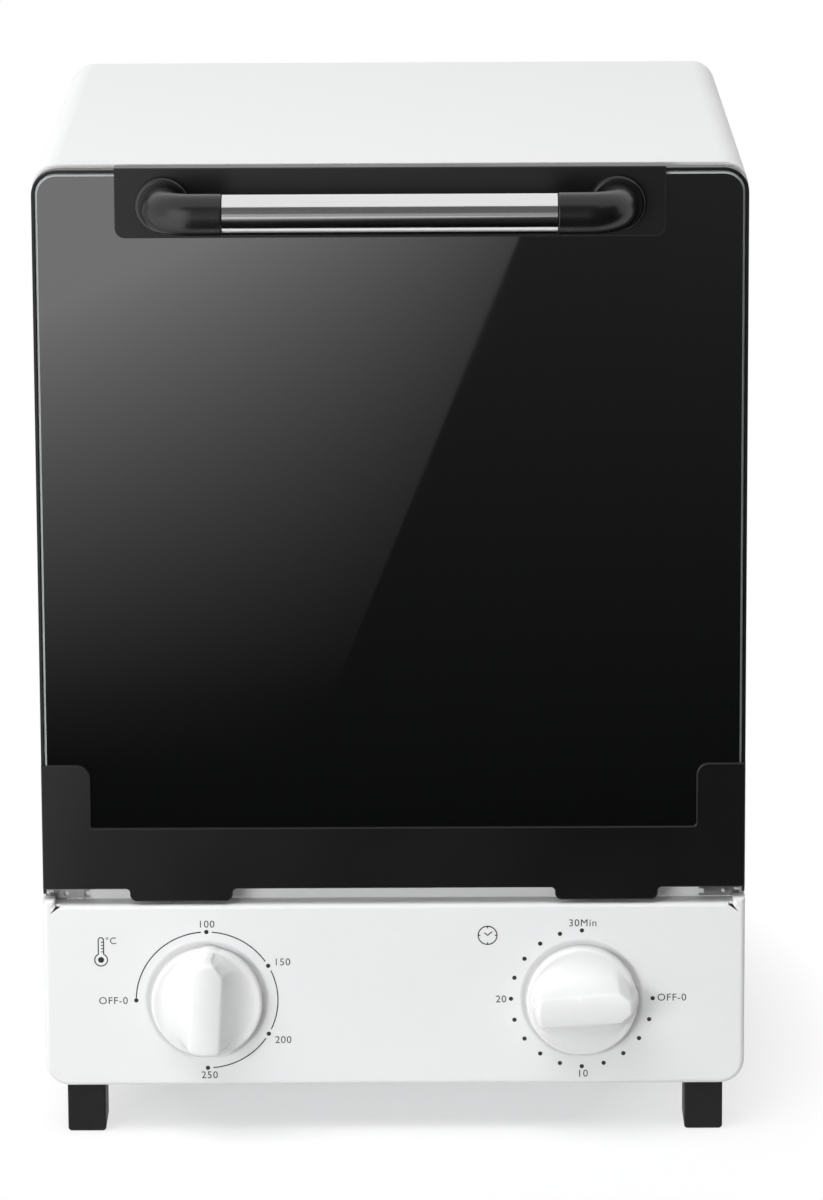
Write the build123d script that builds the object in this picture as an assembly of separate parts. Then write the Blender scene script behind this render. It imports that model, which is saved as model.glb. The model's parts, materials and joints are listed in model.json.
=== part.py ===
from build123d import *
import math
import os

# Countertop dry-heat steriliser cabinet with a drop-down glass door.
# Millimetres, +Z up, the front looks towards -Y. While the pieces are drawn, y = 0 is
# the front face of the door glass and y grows towards the rear. Everything is moved at
# the end so that the origin is the middle of the footprint of the whole object.

# Cabinet
body_width = 253.0
body_top = 355.0
foot_height = 18.0
panel_face = -1.0
frame_face = 8.0
body_rear = 249.0
corner_radius = 9.0
sheet = 0.8
sheet_gap = 0.1
flange_width = 10.0
bottom_flange = 14.0
screw_clearance = 0.2
cut_margin = 1.0
search_margin = 0.01
half_width = body_width / 2

# Control panel and its dials
panel_top = 86.0
panel_edge_radius = 1.7
corner_ear_width = 4.3
corner_ear_rise = 2.0
corner_ear_step = 3.0
dart_width = 1.8
dart_depth = 3.3
dart_lean = 1.9
dial_spacing = 135.4
dial_height = panel_top - 35.7
well_radius = 22.6
well_rim = 2.4
well_depth = 1.2
shaft_radius = 3.0
shaft_flat = 1.0
shaft_inner_length = 14.0
shaft_step = 0.5
shaft_engagement = 11.2
running_fit = 0.05
shaft_hole_gap = 0.6
dial_screw_circle = 12.0
dial_screw_radius = 1.5
dial_screw_length = 5.0
screw_head_radius = 2.6
screw_head_height = 1.3
control_plate = 1.0
control_plate_height = 34.0
thermostat_size = (34.0, 19.0)
thermostat_core = (28.0, 18.0)
thermostat_core_radius = 2.5
timer_plate_width = 40.0
timer_radius = 21.0
timer_depth = 22.0
timer_edge_radius = 1.5
blade_size = (0.8, 9.0, 6.0)
blade_root = 1.0
blade_spread = 8.0
timer_blade_spread = 18.0
bell_radius = 17.0
bell_depth = 8.0
bell_wall = 1.2
bell_swell = 0.72
bell_boss_radius = 4.0
bell_boss_height = 2.0
bell_screw = (3.0, 3.0)
dial_x = dial_spacing / 2

# Knobs
knob_radius = 20.0
knob_draft = 0.5
knob_skirt = 6.2
knob_rim_radius = 1.2
knob_height = 17.2
knob_lift = 0.5
knob_wall = 2.2
knob_hub_radius = 6.0
grip_width = 11.0
grip_crown = 1.2
grip_sink = 0.5
grip_end_inset = 2.1
grip_end_radius = 3.0
grip_flank_foot = 19.0
grip_flank_pull = 7.0
grip_draft = 13.0
grip_tail_half = 10.0
grip_tail_reach = 2.0
grip_corner_radius = 7.2
grip_corner_draft = 20.0
grip_corner_height = 6.4
grip_rim_inset = 0.7
nose_width = 1.6
nose_reach = 0.5
nose_angle = 55.0
temperature_rest_turn = -3.0
timer_rest_turn = -86.0

# Door
door_side_gap = 0.2
door_top_gap = 0.8
door_rise = 6.0
glass_thickness = 4.0
glass_gap = 0.3
glass_lap = 4.0
glass_bevel = 1.2
glass_bevel_share = 0.7
door_sheet = 1.0
lip_setback = 0.4
window_margin = 30.2
window_radius = 8.0
bend_gap = 0.5
corner_clearance = 2.0
door_half_width = half_width - door_side_gap
door_top = body_top - door_top_gap
rail_bottom = panel_top + door_rise
glass_bottom = rail_bottom + glass_lap
window_half_width = door_half_width - window_margin
window_high = door_top - window_margin

# Door bottom rail
rail_height = 22.6
rail_back_leg = 14.0
rail_end_gap = 0.5
rail_ear_height = 46.0
rail_ear_width = 17.5
rail_ear_radius = 4.7
rail_inner_radius = 1.2
tab_width = 37.0
tab_inset = 31.3
tab_gap = 1.4
tab_radius = 2.5
tab_root_radius = 1.5
edge_chamfer = 0.35
rail_top = rail_bottom + rail_height
rail_ear_top = rail_bottom + rail_ear_height
tab_outer = door_half_width - tab_inset
tab_inner = tab_outer - tab_width
tab_bottom = panel_top + tab_gap
window_low = rail_top + 9.4

# Hinge
hinge_y = 2.3
hinge_drop = 0.3
pin_radius = 1.2
pin_head_radius = 1.8
pin_head = 0.7
door_ear_radius = 2.2
door_ear_length = 6.0
bracket_ear_radius = 2.0
bracket_width = 14.3
bracket_height = 11.0
bracket_lift = 0.5
bracket_sheet = 1.0
bracket_ear_thickness = 1.2
bracket_hole_radius = 0.9
bracket_hole_inset = 7.7
bracket_hole_drop = 3.9
bracket_notch = 1.8
bracket_face_gap = 1.5
hinge_gap = 0.9
hinge_z = rail_bottom - hinge_drop
bracket_outer = door_half_width - door_sheet - hinge_gap
bracket_inner = bracket_outer - bracket_width
bracket_low = panel_top + bracket_lift
bracket_top = bracket_low + bracket_height
bracket_hole_x = door_half_width - bracket_hole_inset
bracket_hole_z = rail_bottom - bracket_hole_drop

# Door arms and springs
arm_radius = 40.0
arm_width = 6.0
arm_thickness = 1.5
arm_side_inset = 11.5
arm_tail_angle = 103.0
arm_lug_angle = 99.3
arm_lug_rise = 4.0
arm_foot = (10.0, 14.0)
arm_foot_sheet = 1.2
arm_slot_gap = 0.9
spring_wire = 1.6
spring_coils = 12
spring_coil_radius = 3.2
spring_hook_angle = 96.0
spring_hook_wire = 0.6
spring_hook_hole = 1.2
spring_hook_end = 1.0
spring_tab_size = (1.0, 8.0, 3.0)
spring_anchor_z = foot_height + 18.0
arm_plane = half_width - arm_side_inset

# Handle
handle_plate_inset = 29.3
handle_plate_drop = 12.0
handle_plate_radius = 3.6
handle_plate_back = 19.0
handle_post_inset = 17.0
handle_drop = 12.2
handle_reach = 22.0
handle_radius = 7.1
handle_elbow_radius = 7.3
handle_bend = 11.0
handle_elbow_leg = 21.7
handle_tube_wall = 1.0
handle_spigot = 12.0
handle_joint_gap = 0.25
handle_joint_radius = 0.5
handle_flange_radius = 9.9
handle_flange = 3.2
handle_flange_edge = 1.4
handle_screw_radius = 1.9
handle_screw_depth = 13.0
handle_screw_head = 0.8
handle_screw_head_radius = 4.0
pane_hole_gap = 1.2
handle_z = door_top - handle_drop
handle_plate_low = handle_z - handle_plate_drop
handle_plate_half = door_half_width - handle_plate_inset
handle_post_x = handle_plate_half - handle_post_inset
handle_bar_half = handle_post_x - handle_elbow_leg

# Chamber
chamber_side_space = 24.5
chamber_roof_space = 17.0
chamber_floor_drop = 2.6
chamber_depth = 204.0
liner_sheet = 0.6
liner_flange = 5.0
opening_radius = 5.0
runner_radius = 2.2
runner_first = 48.0
runner_spacing = 52.0
runner_count = 3
runner_pitch = 9.2
runner_front = 16.0
runner_rear = 200.0
runner_clearance = 0.3
chamber_half = half_width - chamber_side_space
chamber_low = rail_top - chamber_floor_drop
chamber_high = body_top - chamber_roof_space
runner_levels = [chamber_low + runner_first + runner_spacing * index for index in range(runner_count)]

# Heaters
heater_radius = 3.5
heater_inset = 10.0
heater_depths = (62.0, 152.0)
heater_hole_gap = 0.4
ceramic_radius = 6.5
ceramic_length = 8.0
ceramic_edge = 1.0
terminal_radius = 1.5
terminal_length = 4.0
heater_low = chamber_low + heater_inset
heater_high = chamber_high - heater_inset

# Rack and tray
load_side_gap = 0.7
load_front = 15.0
load_depth = 186.0
rack_rod = 2.0
rack_wire = 1.3
rack_wires = 9
rack_corner = 10.0
rack_cross_shares = (0.28, 0.72)
tray_sheet = 0.8
tray_rim = 5.0
tray_depth = 18.0
tray_corner = 12.0
tray_hole_radius = 4.0
tray_hole_pitch = 30.0
tray_hole_rows = 5
tray_draft = 6.0
load_half = chamber_half - load_side_gap

# Feet, back and base
foot_width = 13.8
foot_length = 19.0
foot_side_inset = 7.7
foot_setback = 2.0
foot_radius = 1.5
foot_edge_radius = 0.8
foot_screw_inset = 5.3
foot_screw_radius = 1.9
foot_screw_head = 1.6
foot_screw_head_radius = 3.8
foot_screw_end = 2.0
foot_recess_radius = 4.2
foot_recess = 6.0
back_inset = 1.4
back_screw_inset = 14.0
back_screw_head = 1.4
back_screw_edge = 0.8
back_screw_length = 4.0
vent_length = 24.0
vent_width = 3.0
vent_pitch = 9.0
vent_count = 11
vent_top_margin = 62.0
vent_low_margin = 4.0
base_vent_length = 48.0
base_vent_spacing = (72.0, 18.0)
gland_side_inset = 42.5
gland_body = 6.5
gland_flange = 9.0
gland_bore = 3.7
gland_rim = 2.0
gland_rim_radius = 1.2
gland_inside = 6.0
gland_z = foot_height + 26.0
block_size = (38.0, 18.0, 14.0)
block_setback = 48.0
block_edge = 1.2
block_bore = 2.0
block_pitch = 11.2
block_well = (2.4, 3.0)
foot_outer = half_width - foot_side_inset
gland_x = half_width - gland_side_inset

pane_back = glass_thickness
frame_back = pane_back + door_sheet
leg_back = frame_back + sheet
handle_front = -handle_reach - handle_elbow_radius
rear_most = body_rear + sheet + gland_rim
middle_y = (handle_front + rear_most) / 2


upwards = (Align.CENTER, Align.CENTER, Align.MIN)
tail_side = (Align.CENTER, Align.MAX, Align.MIN)


def slab(outline, front, back):
    """Sheet or block with an outline seen from the front, between two depths."""
    return extrude(Plane.XZ.offset(-back) * outline, back - front)


def upright(half, low, high, top_radius=0.0, bottom_radius=0.0):
    """Rectangle standing on the middle line, with its corners rounded."""
    shape = Pos(0, (low + high) / 2) * Rectangle(2 * half, high - low)
    if top_radius > 0:
        shape = fillet(shape.vertices().group_by(Axis.Y)[-1], top_radius)
    if bottom_radius > 0:
        shape = fillet(shape.vertices().group_by(Axis.Y)[0], bottom_radius)
    return shape


def block(x0, x1, y0, y1, z0, z1):
    """Box between two corners."""
    return Pos((x0 + x1) / 2, (y0 + y1) / 2, (z0 + z1) / 2) * Box(x1 - x0, y1 - y0, z1 - z0)


def rod_x(x0, x1, y, z, radius):
    """Round bar along X."""
    return Pos((x0 + x1) / 2, y, z) * Rot(0, 90, 0) * Cylinder(radius, x1 - x0)


def rod_y(x, y0, y1, z, radius):
    """Round bar along Y."""
    return Pos(x, (y0 + y1) / 2, z) * Rot(90, 0, 0) * Cylinder(radius, y1 - y0)


def rod_z(x, y, z0, z1, radius):
    """Round bar along Z."""
    return Pos(x, y, (z0 + z1) / 2) * Cylinder(radius, z1 - z0)


def side_sheet(outline, x0, x1):
    """Sheet whose outline is drawn from the side, as depth and height."""
    return extrude(Plane.YZ.offset(x0) * outline, x1 - x0)


def other_side(piece):
    """The same piece on the other side of the middle line."""
    return mirror(piece, Plane.YZ)


def both_sides(piece):
    """A left and right pair."""
    return [piece, other_side(piece)]


# Cabinet shell


def outer_wrapper():
    """Bent sheet tube, open at the front, with inward flanges at the base and the rear."""
    outside = upright(half_width, foot_height, body_top, corner_radius, corner_radius)
    inner_radius = corner_radius - sheet
    inside = upright(half_width - sheet, foot_height + sheet, body_top - sheet, inner_radius, inner_radius)
    rear_hole = upright(half_width - flange_width, foot_height + flange_width, body_top - flange_width)
    shell = slab(outside - inside, frame_face, body_rear)
    rear_flange = slab(outside - rear_hole, body_rear - sheet, body_rear)
    gap_half = half_width - corner_radius - bottom_flange
    base_gap = block(
        -gap_half,
        gap_half,
        frame_face - cut_margin,
        body_rear - sheet,
        foot_height - cut_margin,
        foot_height + sheet + cut_margin,
    )
    shell = shell + rear_flange - base_gap
    for x, y in foot_screw_places():
        shell -= rod_z(x, y, foot_height - cut_margin, foot_height + sheet + cut_margin, foot_screw_radius)
    for x, z in back_screw_places():
        shell -= rod_y(x, body_rear - sheet - cut_margin, body_rear + cut_margin, z, foot_screw_radius)
    return shell


def front_frame():
    """Painted face around the chamber mouth, with returns along its edge and two arm slots."""
    half = half_width - sheet - sheet_gap
    top = body_top - sheet - sheet_gap
    low = panel_top - flange_width
    radius = corner_radius - sheet - sheet_gap
    face = upright(half, low, top, radius)
    mouth = upright(chamber_half, chamber_low, chamber_high, opening_radius, opening_radius)
    edge = face - upright(half - sheet, low - cut_margin, top - sheet, radius - sheet)
    plate = slab(face - mouth, frame_face, frame_face + sheet)
    plate += slab(edge, frame_face, frame_face + flange_width)
    slot_low = hinge_z + arm_radius - arm_width / 2 - arm_slot_gap
    slot_high = hinge_z + arm_radius + arm_width / 2 + arm_slot_gap
    slot = block(
        arm_plane - arm_slot_gap,
        arm_plane + arm_thickness + arm_slot_gap,
        frame_face - cut_margin,
        frame_face + sheet + cut_margin,
        slot_low,
        slot_high,
    )
    return plate - both_sides(slot)


def panel_outline(inset):
    """Front outline of the panel pan, with its two raised corner ears."""
    half = half_width - inset
    base = upright(half, foot_height + inset, panel_top - inset, 0.0, corner_radius - inset)
    ear_inner = half_width - corner_ear_width + inset
    ear_low = foot_height + corner_radius
    ear_high = panel_top + corner_ear_rise - inset
    ear_middle = Pos((ear_inner + half) / 2, (ear_low + ear_high) / 2)
    ear = ear_middle * Rectangle(half - ear_inner, ear_high - ear_low)
    return base + ear + mirror(ear, Plane.YZ)


def control_panel():
    """Shallow pressed pan: face, edge returns back to the wrapper and two round dial wells."""
    pan = slab(panel_outline(0.0), panel_face, frame_face)
    front = pan.faces().sort_by(Axis.Y)[0]
    pan = fillet(front.edges(), panel_edge_radius)
    pan -= slab(panel_outline(sheet), panel_face + sheet, frame_face + cut_margin)
    ear_x = half_width - corner_ear_width
    dart = make_face(
        Polyline(
            (ear_x - dart_width, panel_top + cut_margin),
            (ear_x, panel_top + cut_margin),
            (ear_x, panel_top - sheet),
            (ear_x + dart_lean, panel_top - dart_depth),
            (ear_x - dart_width, panel_top - sheet),
            close=True,
        )
    )
    pan -= both_sides(slab(dart, panel_face - cut_margin, panel_face + panel_edge_radius))
    ear_back = frame_face - corner_ear_step
    ear_high = panel_top + corner_ear_rise + cut_margin
    ear_inner = ear_x - cut_margin
    relief_back = frame_face + cut_margin
    relief = block(ear_inner, half_width - sheet, ear_back, relief_back, panel_top, ear_high)
    pan -= both_sides(relief)
    for x in (-dial_x, dial_x):
        pan = pan + dial_well(x, 0.0, sheet) - dial_well(x, -cut_margin, 0.0)
        pan -= rod_y(x, panel_face - cut_margin, frame_face, dial_height, shaft_radius + shaft_hole_gap)
        for z in dial_screw_heights():
            pan -= rod_y(x, panel_face - cut_margin, frame_face, z, dial_screw_radius)
    return pan


def dial_well(x, front, extra):
    """Dished well around a dial shaft, as the solid that is cut from or added to the panel."""
    rim = well_radius + extra
    floor = well_radius - well_rim + extra
    middle = (rim + floor) / 2
    lip = panel_face + extra
    end = panel_face + well_depth + extra
    slope = Bezier((rim, lip), (middle, lip), (middle, end), (floor, end))
    start = panel_face + front
    outline = Polyline((floor, end), (0, end), (0, start), (rim, start), (rim, lip)) + slope
    return Pos(x, 0, dial_height) * revolve(Plane.XY * make_face(outline), Axis.Y)


def dial_screw_heights():
    """Heights of the two screws of a control, above and below its shaft."""
    return [dial_height - dial_screw_circle, dial_height + dial_screw_circle]


def back_panel():
    """Flat rear cover with two rows of vents and the hole for the cord gland."""
    radius = corner_radius - back_inset
    low = foot_height + back_inset
    outline = upright(half_width - back_inset, low, body_top - back_inset, radius, radius)
    vent = SlotOverall(vent_length, vent_width, rotation=90)
    high = body_top - vent_top_margin
    low = panel_top + vent_low_margin
    for place in GridLocations(vent_pitch, high - low, vent_count, 2):
        outline -= Pos(0, (high + low) / 2) * place * vent
    cover = slab(outline, body_rear, body_rear + sheet)
    cover -= rod_y(gland_x, body_rear - cut_margin, body_rear + sheet + cut_margin, gland_z, gland_body)
    for x, z in back_screw_places():
        cover -= rod_y(x, body_rear - cut_margin, body_rear + sheet + cut_margin, z, foot_screw_radius)
    return cover


def back_screw_places():
    """Screw centres around the rear cover."""
    x = half_width - flange_width / 2
    heights = (foot_height + back_screw_inset, (foot_height + body_top) / 2, body_top - back_screw_inset)
    return [(side * x, z) for side in (-1, 1) for z in heights]


def back_panel_screws():
    """Six round-head screws through the rear cover into the wrapper's flange."""
    screws = []
    for x, z in back_screw_places():
        back = body_rear + sheet
        screw = rod_y(x, body_rear - back_screw_length, back, z, foot_screw_radius)
        head = rod_y(x, back, back + back_screw_head, z, 2 * foot_screw_radius)
        head = fillet(head.edges().filter_by(GeomType.CIRCLE).sort_by(Axis.Y)[-1], back_screw_edge)
        screws.append(screw + head)
    return screws


def bottom_plate():
    """Base sheet on the wrapper's flanges, with vents and two lanced tabs for the springs."""
    low = foot_height + sheet
    half = half_width - corner_radius
    plate = block(-half, half, frame_face, body_rear - sheet, low, low + sheet)
    vent = SlotOverall(base_vent_length, vent_width)
    middle = (frame_face + body_rear) / 2
    for place in GridLocations(*base_vent_spacing, 2, 5):
        plate -= extrude(Pos(0, middle, low) * place * vent, sheet)
    for x, y in foot_screw_places():
        plate -= rod_z(x, y, low - cut_margin, low + sheet + cut_margin, foot_screw_radius)
    hook_y = hinge_y + arm_radius * math.sin(math.radians(spring_hook_angle))
    thick, wide, high = spring_tab_size
    tab_start = hook_y - wide / 2
    tab = block(arm_plane, arm_plane + thick, tab_start, tab_start + wide, low, spring_anchor_z + high)
    hole_end = arm_plane + thick + cut_margin
    tab -= rod_x(arm_plane - cut_margin, hole_end, hook_y, spring_anchor_z, spring_hook_hole)
    return plate + both_sides(tab)


# Feet


def foot_places():
    """Low front-left corners of the four feet, named by where they stand."""
    front = foot_setback + panel_face
    rear = body_rear - foot_setback - foot_length
    return {
        "front_left_foot": (-foot_outer, front),
        "front_right_foot": (foot_outer - foot_width, front),
        "rear_left_foot": (-foot_outer, rear),
        "rear_right_foot": (foot_outer - foot_width, rear),
    }


def foot_screw_places():
    """One screw up through each foot."""
    places = []
    for x, y in foot_places().values():
        inward = foot_length - foot_screw_inset if y < body_rear / 2 else foot_screw_inset
        places.append((x + foot_width / 2, y + inward))
    return places


def foot(x, y, screw_y):
    """Moulded block with rounded lower edges and a recess for its screw."""
    shape = block(x, x + foot_width, y, y + foot_length, 0, foot_height)
    shape = fillet(shape.edges().filter_by(Axis.Z), foot_edge_radius)
    shape = fillet(shape.edges().group_by(Axis.Z)[0], foot_radius)
    centre = x + foot_width / 2
    shape -= rod_z(centre, screw_y, -cut_margin, foot_recess, foot_recess_radius)
    return shape - rod_z(centre, screw_y, foot_recess, foot_height + cut_margin, foot_screw_radius)


def foot_screws():
    """Four screws, heads sunk in the feet."""
    screws = []
    for x, y in foot_screw_places():
        head = rod_z(x, y, foot_recess - foot_screw_head, foot_recess, foot_screw_head_radius)
        end = foot_height + 2 * sheet + foot_screw_end
        screws.append(head + rod_z(x, y, foot_recess, end, foot_screw_radius))
    return screws


# Chamber


def heater_places():
    """Depth and height of the four heater tubes."""
    return {
        "lower_front_heater": (frame_face + heater_depths[0], heater_low),
        "lower_rear_heater": (frame_face + heater_depths[1], heater_low),
        "upper_front_heater": (frame_face + heater_depths[0], heater_high),
        "upper_rear_heater": (frame_face + heater_depths[1], heater_high),
    }


def chamber_liner():
    """Bright steel box, open at the front, with pressed runners and heater holes."""
    front = frame_face + sheet
    rear = front + chamber_depth
    radius = opening_radius
    inside = upright(chamber_half, chamber_low, chamber_high, radius, radius)
    outer_low = chamber_low - liner_sheet
    outer_high = chamber_high + liner_sheet
    outer_radius = radius + liner_sheet
    outside = upright(chamber_half + liner_sheet, outer_low, outer_high, outer_radius, outer_radius)
    lip_half = chamber_half + liner_flange
    lip = upright(lip_half, chamber_low - liner_flange, chamber_high + liner_flange, radius, radius)
    liner = slab(outside, front, rear + liner_sheet) + slab(lip, front, front + liner_sheet)
    liner -= slab(inside, front - cut_margin, rear)
    for level in runner_levels:
        for z in (level, level + runner_pitch):
            bar = rod_y(chamber_half, front + runner_front, front + runner_rear, z, runner_radius)
            wall = chamber_half + liner_sheet / 2
            outside = wall + 2 * runner_radius
            bar -= block(wall, outside, front, rear, z - 2 * runner_radius, z + 2 * runner_radius)
            liner += both_sides(bar)
    for y, z in heater_places().values():
        reach = chamber_half + liner_sheet + cut_margin
        liner -= rod_x(-reach, reach, y, z, heater_radius + heater_hole_gap)
    return liner


def heater(y, z):
    """Sheathed heating tube across the chamber with a terminal at each end."""
    end = chamber_half + liner_sheet + ceramic_length
    tube = rod_x(-end, end, y, z, heater_radius)
    return tube + rod_x(-end - terminal_length, end + terminal_length, y, z, terminal_radius)


def heater_ceramics():
    """Ceramic sleeves that hold the tube ends outside the liner."""
    start = chamber_half + liner_sheet
    sleeves = []
    for y, z in heater_places().values():
        sleeve = rod_x(start, start + ceramic_length, y, z, ceramic_radius)
        sleeve = chamfer(sleeve.edges().filter_by(GeomType.CIRCLE).sort_by(Axis.X)[-1], ceramic_edge)
        sleeve -= rod_x(start - cut_margin, start + ceramic_length + cut_margin, y, z, heater_radius)
        sleeves += both_sides(sleeve)
    return sleeves


def load_rest(level):
    """Height of the underside of what stands on a pair of runners."""
    return level + runner_radius + runner_clearance


def wire_rack():
    """Welded rack: a rod frame with two cross rods under nine wires."""
    z = load_rest(runner_levels[0]) + rack_rod
    half = load_half - rack_rod
    front = frame_face + load_front + rack_rod
    rear = front + load_depth - 2 * rack_rod
    middle = (front + rear) / 2
    loop = Plane.XY.offset(z) * (Pos(0, middle) * RectangleRounded(2 * half, rear - front, rack_corner))
    path = loop.wire()
    start = Plane(origin=path @ 0, z_dir=path % 0)
    rack = sweep(start * Circle(rack_rod), path=path)
    for share in rack_cross_shares:
        rack += rod_x(-half, half, front + share * (rear - front), z, rack_rod)
    pitch = 2 * half / (rack_wires + 1)
    for index in range(rack_wires):
        x = -half + pitch * (index + 1)
        rack += rod_y(x, front, rear, z + rack_rod, rack_wire)
    return rack


def instrument_tray():
    """Pressed tray with a flat rim that rides on the runners and a perforated floor."""
    rim_z = load_rest(runner_levels[1])
    front = frame_face + load_front
    middle = front + load_depth / 2
    rim = Pos(0, middle) * RectangleRounded(2 * load_half, load_depth, tray_corner)
    well_width = 2 * (load_half - tray_rim)
    well = Pos(0, middle) * RectangleRounded(well_width, load_depth - 2 * tray_rim, tray_corner)
    floor_z = rim_z - tray_depth
    tray = extrude(Plane.XY.offset(rim_z) * rim, tray_sheet)
    tray += extrude(Plane.XY.offset(rim_z) * well, -tray_depth, taper=tray_draft)
    inner = offset(well, -tray_sheet)
    tray -= extrude(Plane.XY.offset(rim_z + tray_sheet) * inner, -tray_depth, taper=tray_draft)
    for place in GridLocations(tray_hole_pitch, tray_hole_pitch, tray_hole_rows, tray_hole_rows):
        tray -= Pos(0, middle, floor_z) * place * Cylinder(tray_hole_radius, 4 * tray_sheet)
    return tray


# Door


def door_edge(inset):
    """Door outline seen from the front, without its bottom corners."""
    radius = corner_radius - (half_width - door_half_width) - inset
    return upright(door_half_width - inset, rail_bottom + sheet, door_top - inset, radius)


def door_frame():
    """Pressed back frame: window ring, folded lip around the pane and two hinge ears."""
    ring = door_edge(0.0) - upright(window_half_width, window_low, window_high, window_radius, window_radius)
    frame = slab(ring, pane_back, frame_back)
    lip_inner = door_half_width - door_sheet
    lip_radius = corner_radius - door_side_gap - door_sheet - bend_gap
    lip = door_edge(0.0) - upright(lip_inner, 0, door_top - door_sheet, lip_radius)
    frame += slab(lip, lip_setback, frame_back)
    corner = block(
        bracket_inner - corner_clearance,
        lip_inner,
        -cut_margin,
        frame_back + cut_margin,
        panel_top,
        bracket_top + bracket_face_gap,
    )
    frame -= both_sides(corner)
    ear = Pos(hinge_y, hinge_z) * Circle(door_ear_radius)
    ear += Pos(hinge_y, hinge_z + door_ear_length / 2) * Rectangle(2 * door_ear_radius, door_ear_length)
    frame += both_sides(side_sheet(ear, lip_inner, door_half_width))
    pin_hole = rod_x(lip_inner - cut_margin, half_width, hinge_y, hinge_z, pin_radius + running_fit)
    frame -= both_sides(pin_hole)
    hole_radius = handle_screw_radius + screw_clearance
    for x in (-handle_post_x, handle_post_x):
        frame -= rod_y(x, -cut_margin, frame_back + cut_margin, handle_z, hole_radius)
    return frame


def door_glass():
    """Toughened pane with a polished bevel and two holes for the handle screws."""
    half = door_half_width - door_sheet - glass_gap
    top = door_top - door_sheet - glass_gap
    radius = corner_radius - door_side_gap - door_sheet - glass_gap
    pane = slab(upright(half, glass_bottom, top, radius), 0, glass_thickness)
    front = pane.faces().sort_by(Axis.Y)[0]
    edges = front.edges().filter_by_position(Axis.Z, glass_bottom + cut_margin, top + cut_margin)
    pane = chamfer(edges, glass_bevel * glass_bevel_share, glass_bevel, reference=front)
    hole_radius = handle_screw_radius + pane_hole_gap
    for x in (-handle_post_x, handle_post_x):
        pane -= rod_y(x, -cut_margin, glass_thickness + cut_margin, handle_z, hole_radius)
    return pane


def rail_outline():
    """Front outline of the bottom rail: band, raised ends and two stop tabs."""
    band = upright(door_half_width, rail_bottom, rail_top)
    ear_x = door_half_width - rail_ear_width / 2
    ear = Pos(ear_x, (rail_bottom + rail_ear_top) / 2) * Rectangle(rail_ear_width, rail_ear_top - rail_bottom)
    ear = fillet(ear.vertices().sort_by(Axis.X)[:2].sort_by(Axis.Y)[-1], rail_ear_radius)
    tab_x = (tab_inner + tab_outer) / 2
    tab = Pos(tab_x, (tab_bottom + rail_top) / 2) * Rectangle(tab_width, rail_top - tab_bottom)
    tab = fillet(tab.vertices().group_by(Axis.Y)[0], tab_radius)
    outline = band + ear + mirror(ear, Plane.YZ) + tab + mirror(tab, Plane.YZ)
    inner = corners_at(outline, [door_half_width - rail_ear_width], rail_top)
    outline = fillet(inner, rail_inner_radius)
    roots = corners_at(outline, [tab_inner, tab_outer], rail_bottom)
    return fillet(roots, tab_root_radius)


def corners_at(outline, distances, height):
    """Corners of an outline at a height and at given distances from the middle line."""
    level = outline.vertices().filter_by_position(Axis.Y, height - search_margin, height + search_margin)
    return [corner for corner in level if min(abs(abs(corner.X) - x) for x in distances) < search_margin]


def door_bottom_rail():
    """Folded rail: face, bottom leg under the pane and back leg behind the frame."""
    rail = slab(rail_outline(), -door_sheet, 0)
    front = rail.faces().sort_by(Axis.Y)[0]
    rail = chamfer(front.edges(), edge_chamfer)
    half = bracket_inner - corner_clearance - rail_end_gap
    rail += block(-half, half, -door_sheet / 2, leg_back, rail_bottom, rail_bottom + sheet)
    rail += block(-half, half, frame_back, leg_back, rail_bottom, rail_bottom + rail_back_leg)
    return rail


# Hinge


def hinge_bracket():
    """Right-hand bracket: base on the front frame and a forward ear for the pin."""
    ear_start = bracket_outer - bracket_ear_thickness
    base_front = frame_face - bracket_sheet
    bracket = block(bracket_inner, bracket_outer, base_front, frame_face, bracket_low, bracket_top)
    reach = base_front - hinge_y
    ear = Pos(hinge_y, hinge_z) * Circle(bracket_ear_radius)
    ear += Pos(hinge_y + reach / 2, hinge_z) * Rectangle(reach, 2 * bracket_ear_radius)
    bracket += side_sheet(ear, ear_start, bracket_outer)
    bracket -= rod_x(ear_start - cut_margin, bracket_outer + cut_margin, hinge_y, hinge_z, pin_radius)
    front = base_front - cut_margin
    back = frame_face + cut_margin
    notch_low = bracket_hole_z - bracket_notch / 2
    notch_high = bracket_hole_z + bracket_notch / 2
    notch_end = bracket_inner + bracket_notch
    bracket -= block(bracket_inner - cut_margin, notch_end, front, back, notch_low, notch_high)
    return bracket - rod_y(bracket_hole_x, front, back, bracket_hole_z, bracket_hole_radius)


def hinge_pins():
    """Shouldered pins riveted in the brackets, each ending in a door ear."""
    inner = bracket_outer - bracket_ear_thickness
    pin = rod_x(inner - pin_head, inner, hinge_y, hinge_z, pin_head_radius)
    pin += rod_x(inner, door_half_width, hinge_y, hinge_z, pin_radius)
    return both_sides(pin)


def arm_sector(low_radius, high_radius, start, end):
    """Part of a ring around the hinge line, angles counted from upright to the rear."""
    first = Pos(hinge_y, hinge_z) * Circle(high_radius) - Pos(hinge_y, hinge_z) * Circle(low_radius)
    reach = 2 * high_radius
    points = [(hinge_y, hinge_z)]
    for step in range(4):
        angle = math.radians(start + (end - start) * step / 3)
        points.append((hinge_y + reach * math.sin(angle), hinge_z + reach * math.cos(angle)))
    return first & make_face(Polyline(*points, close=True))


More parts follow.
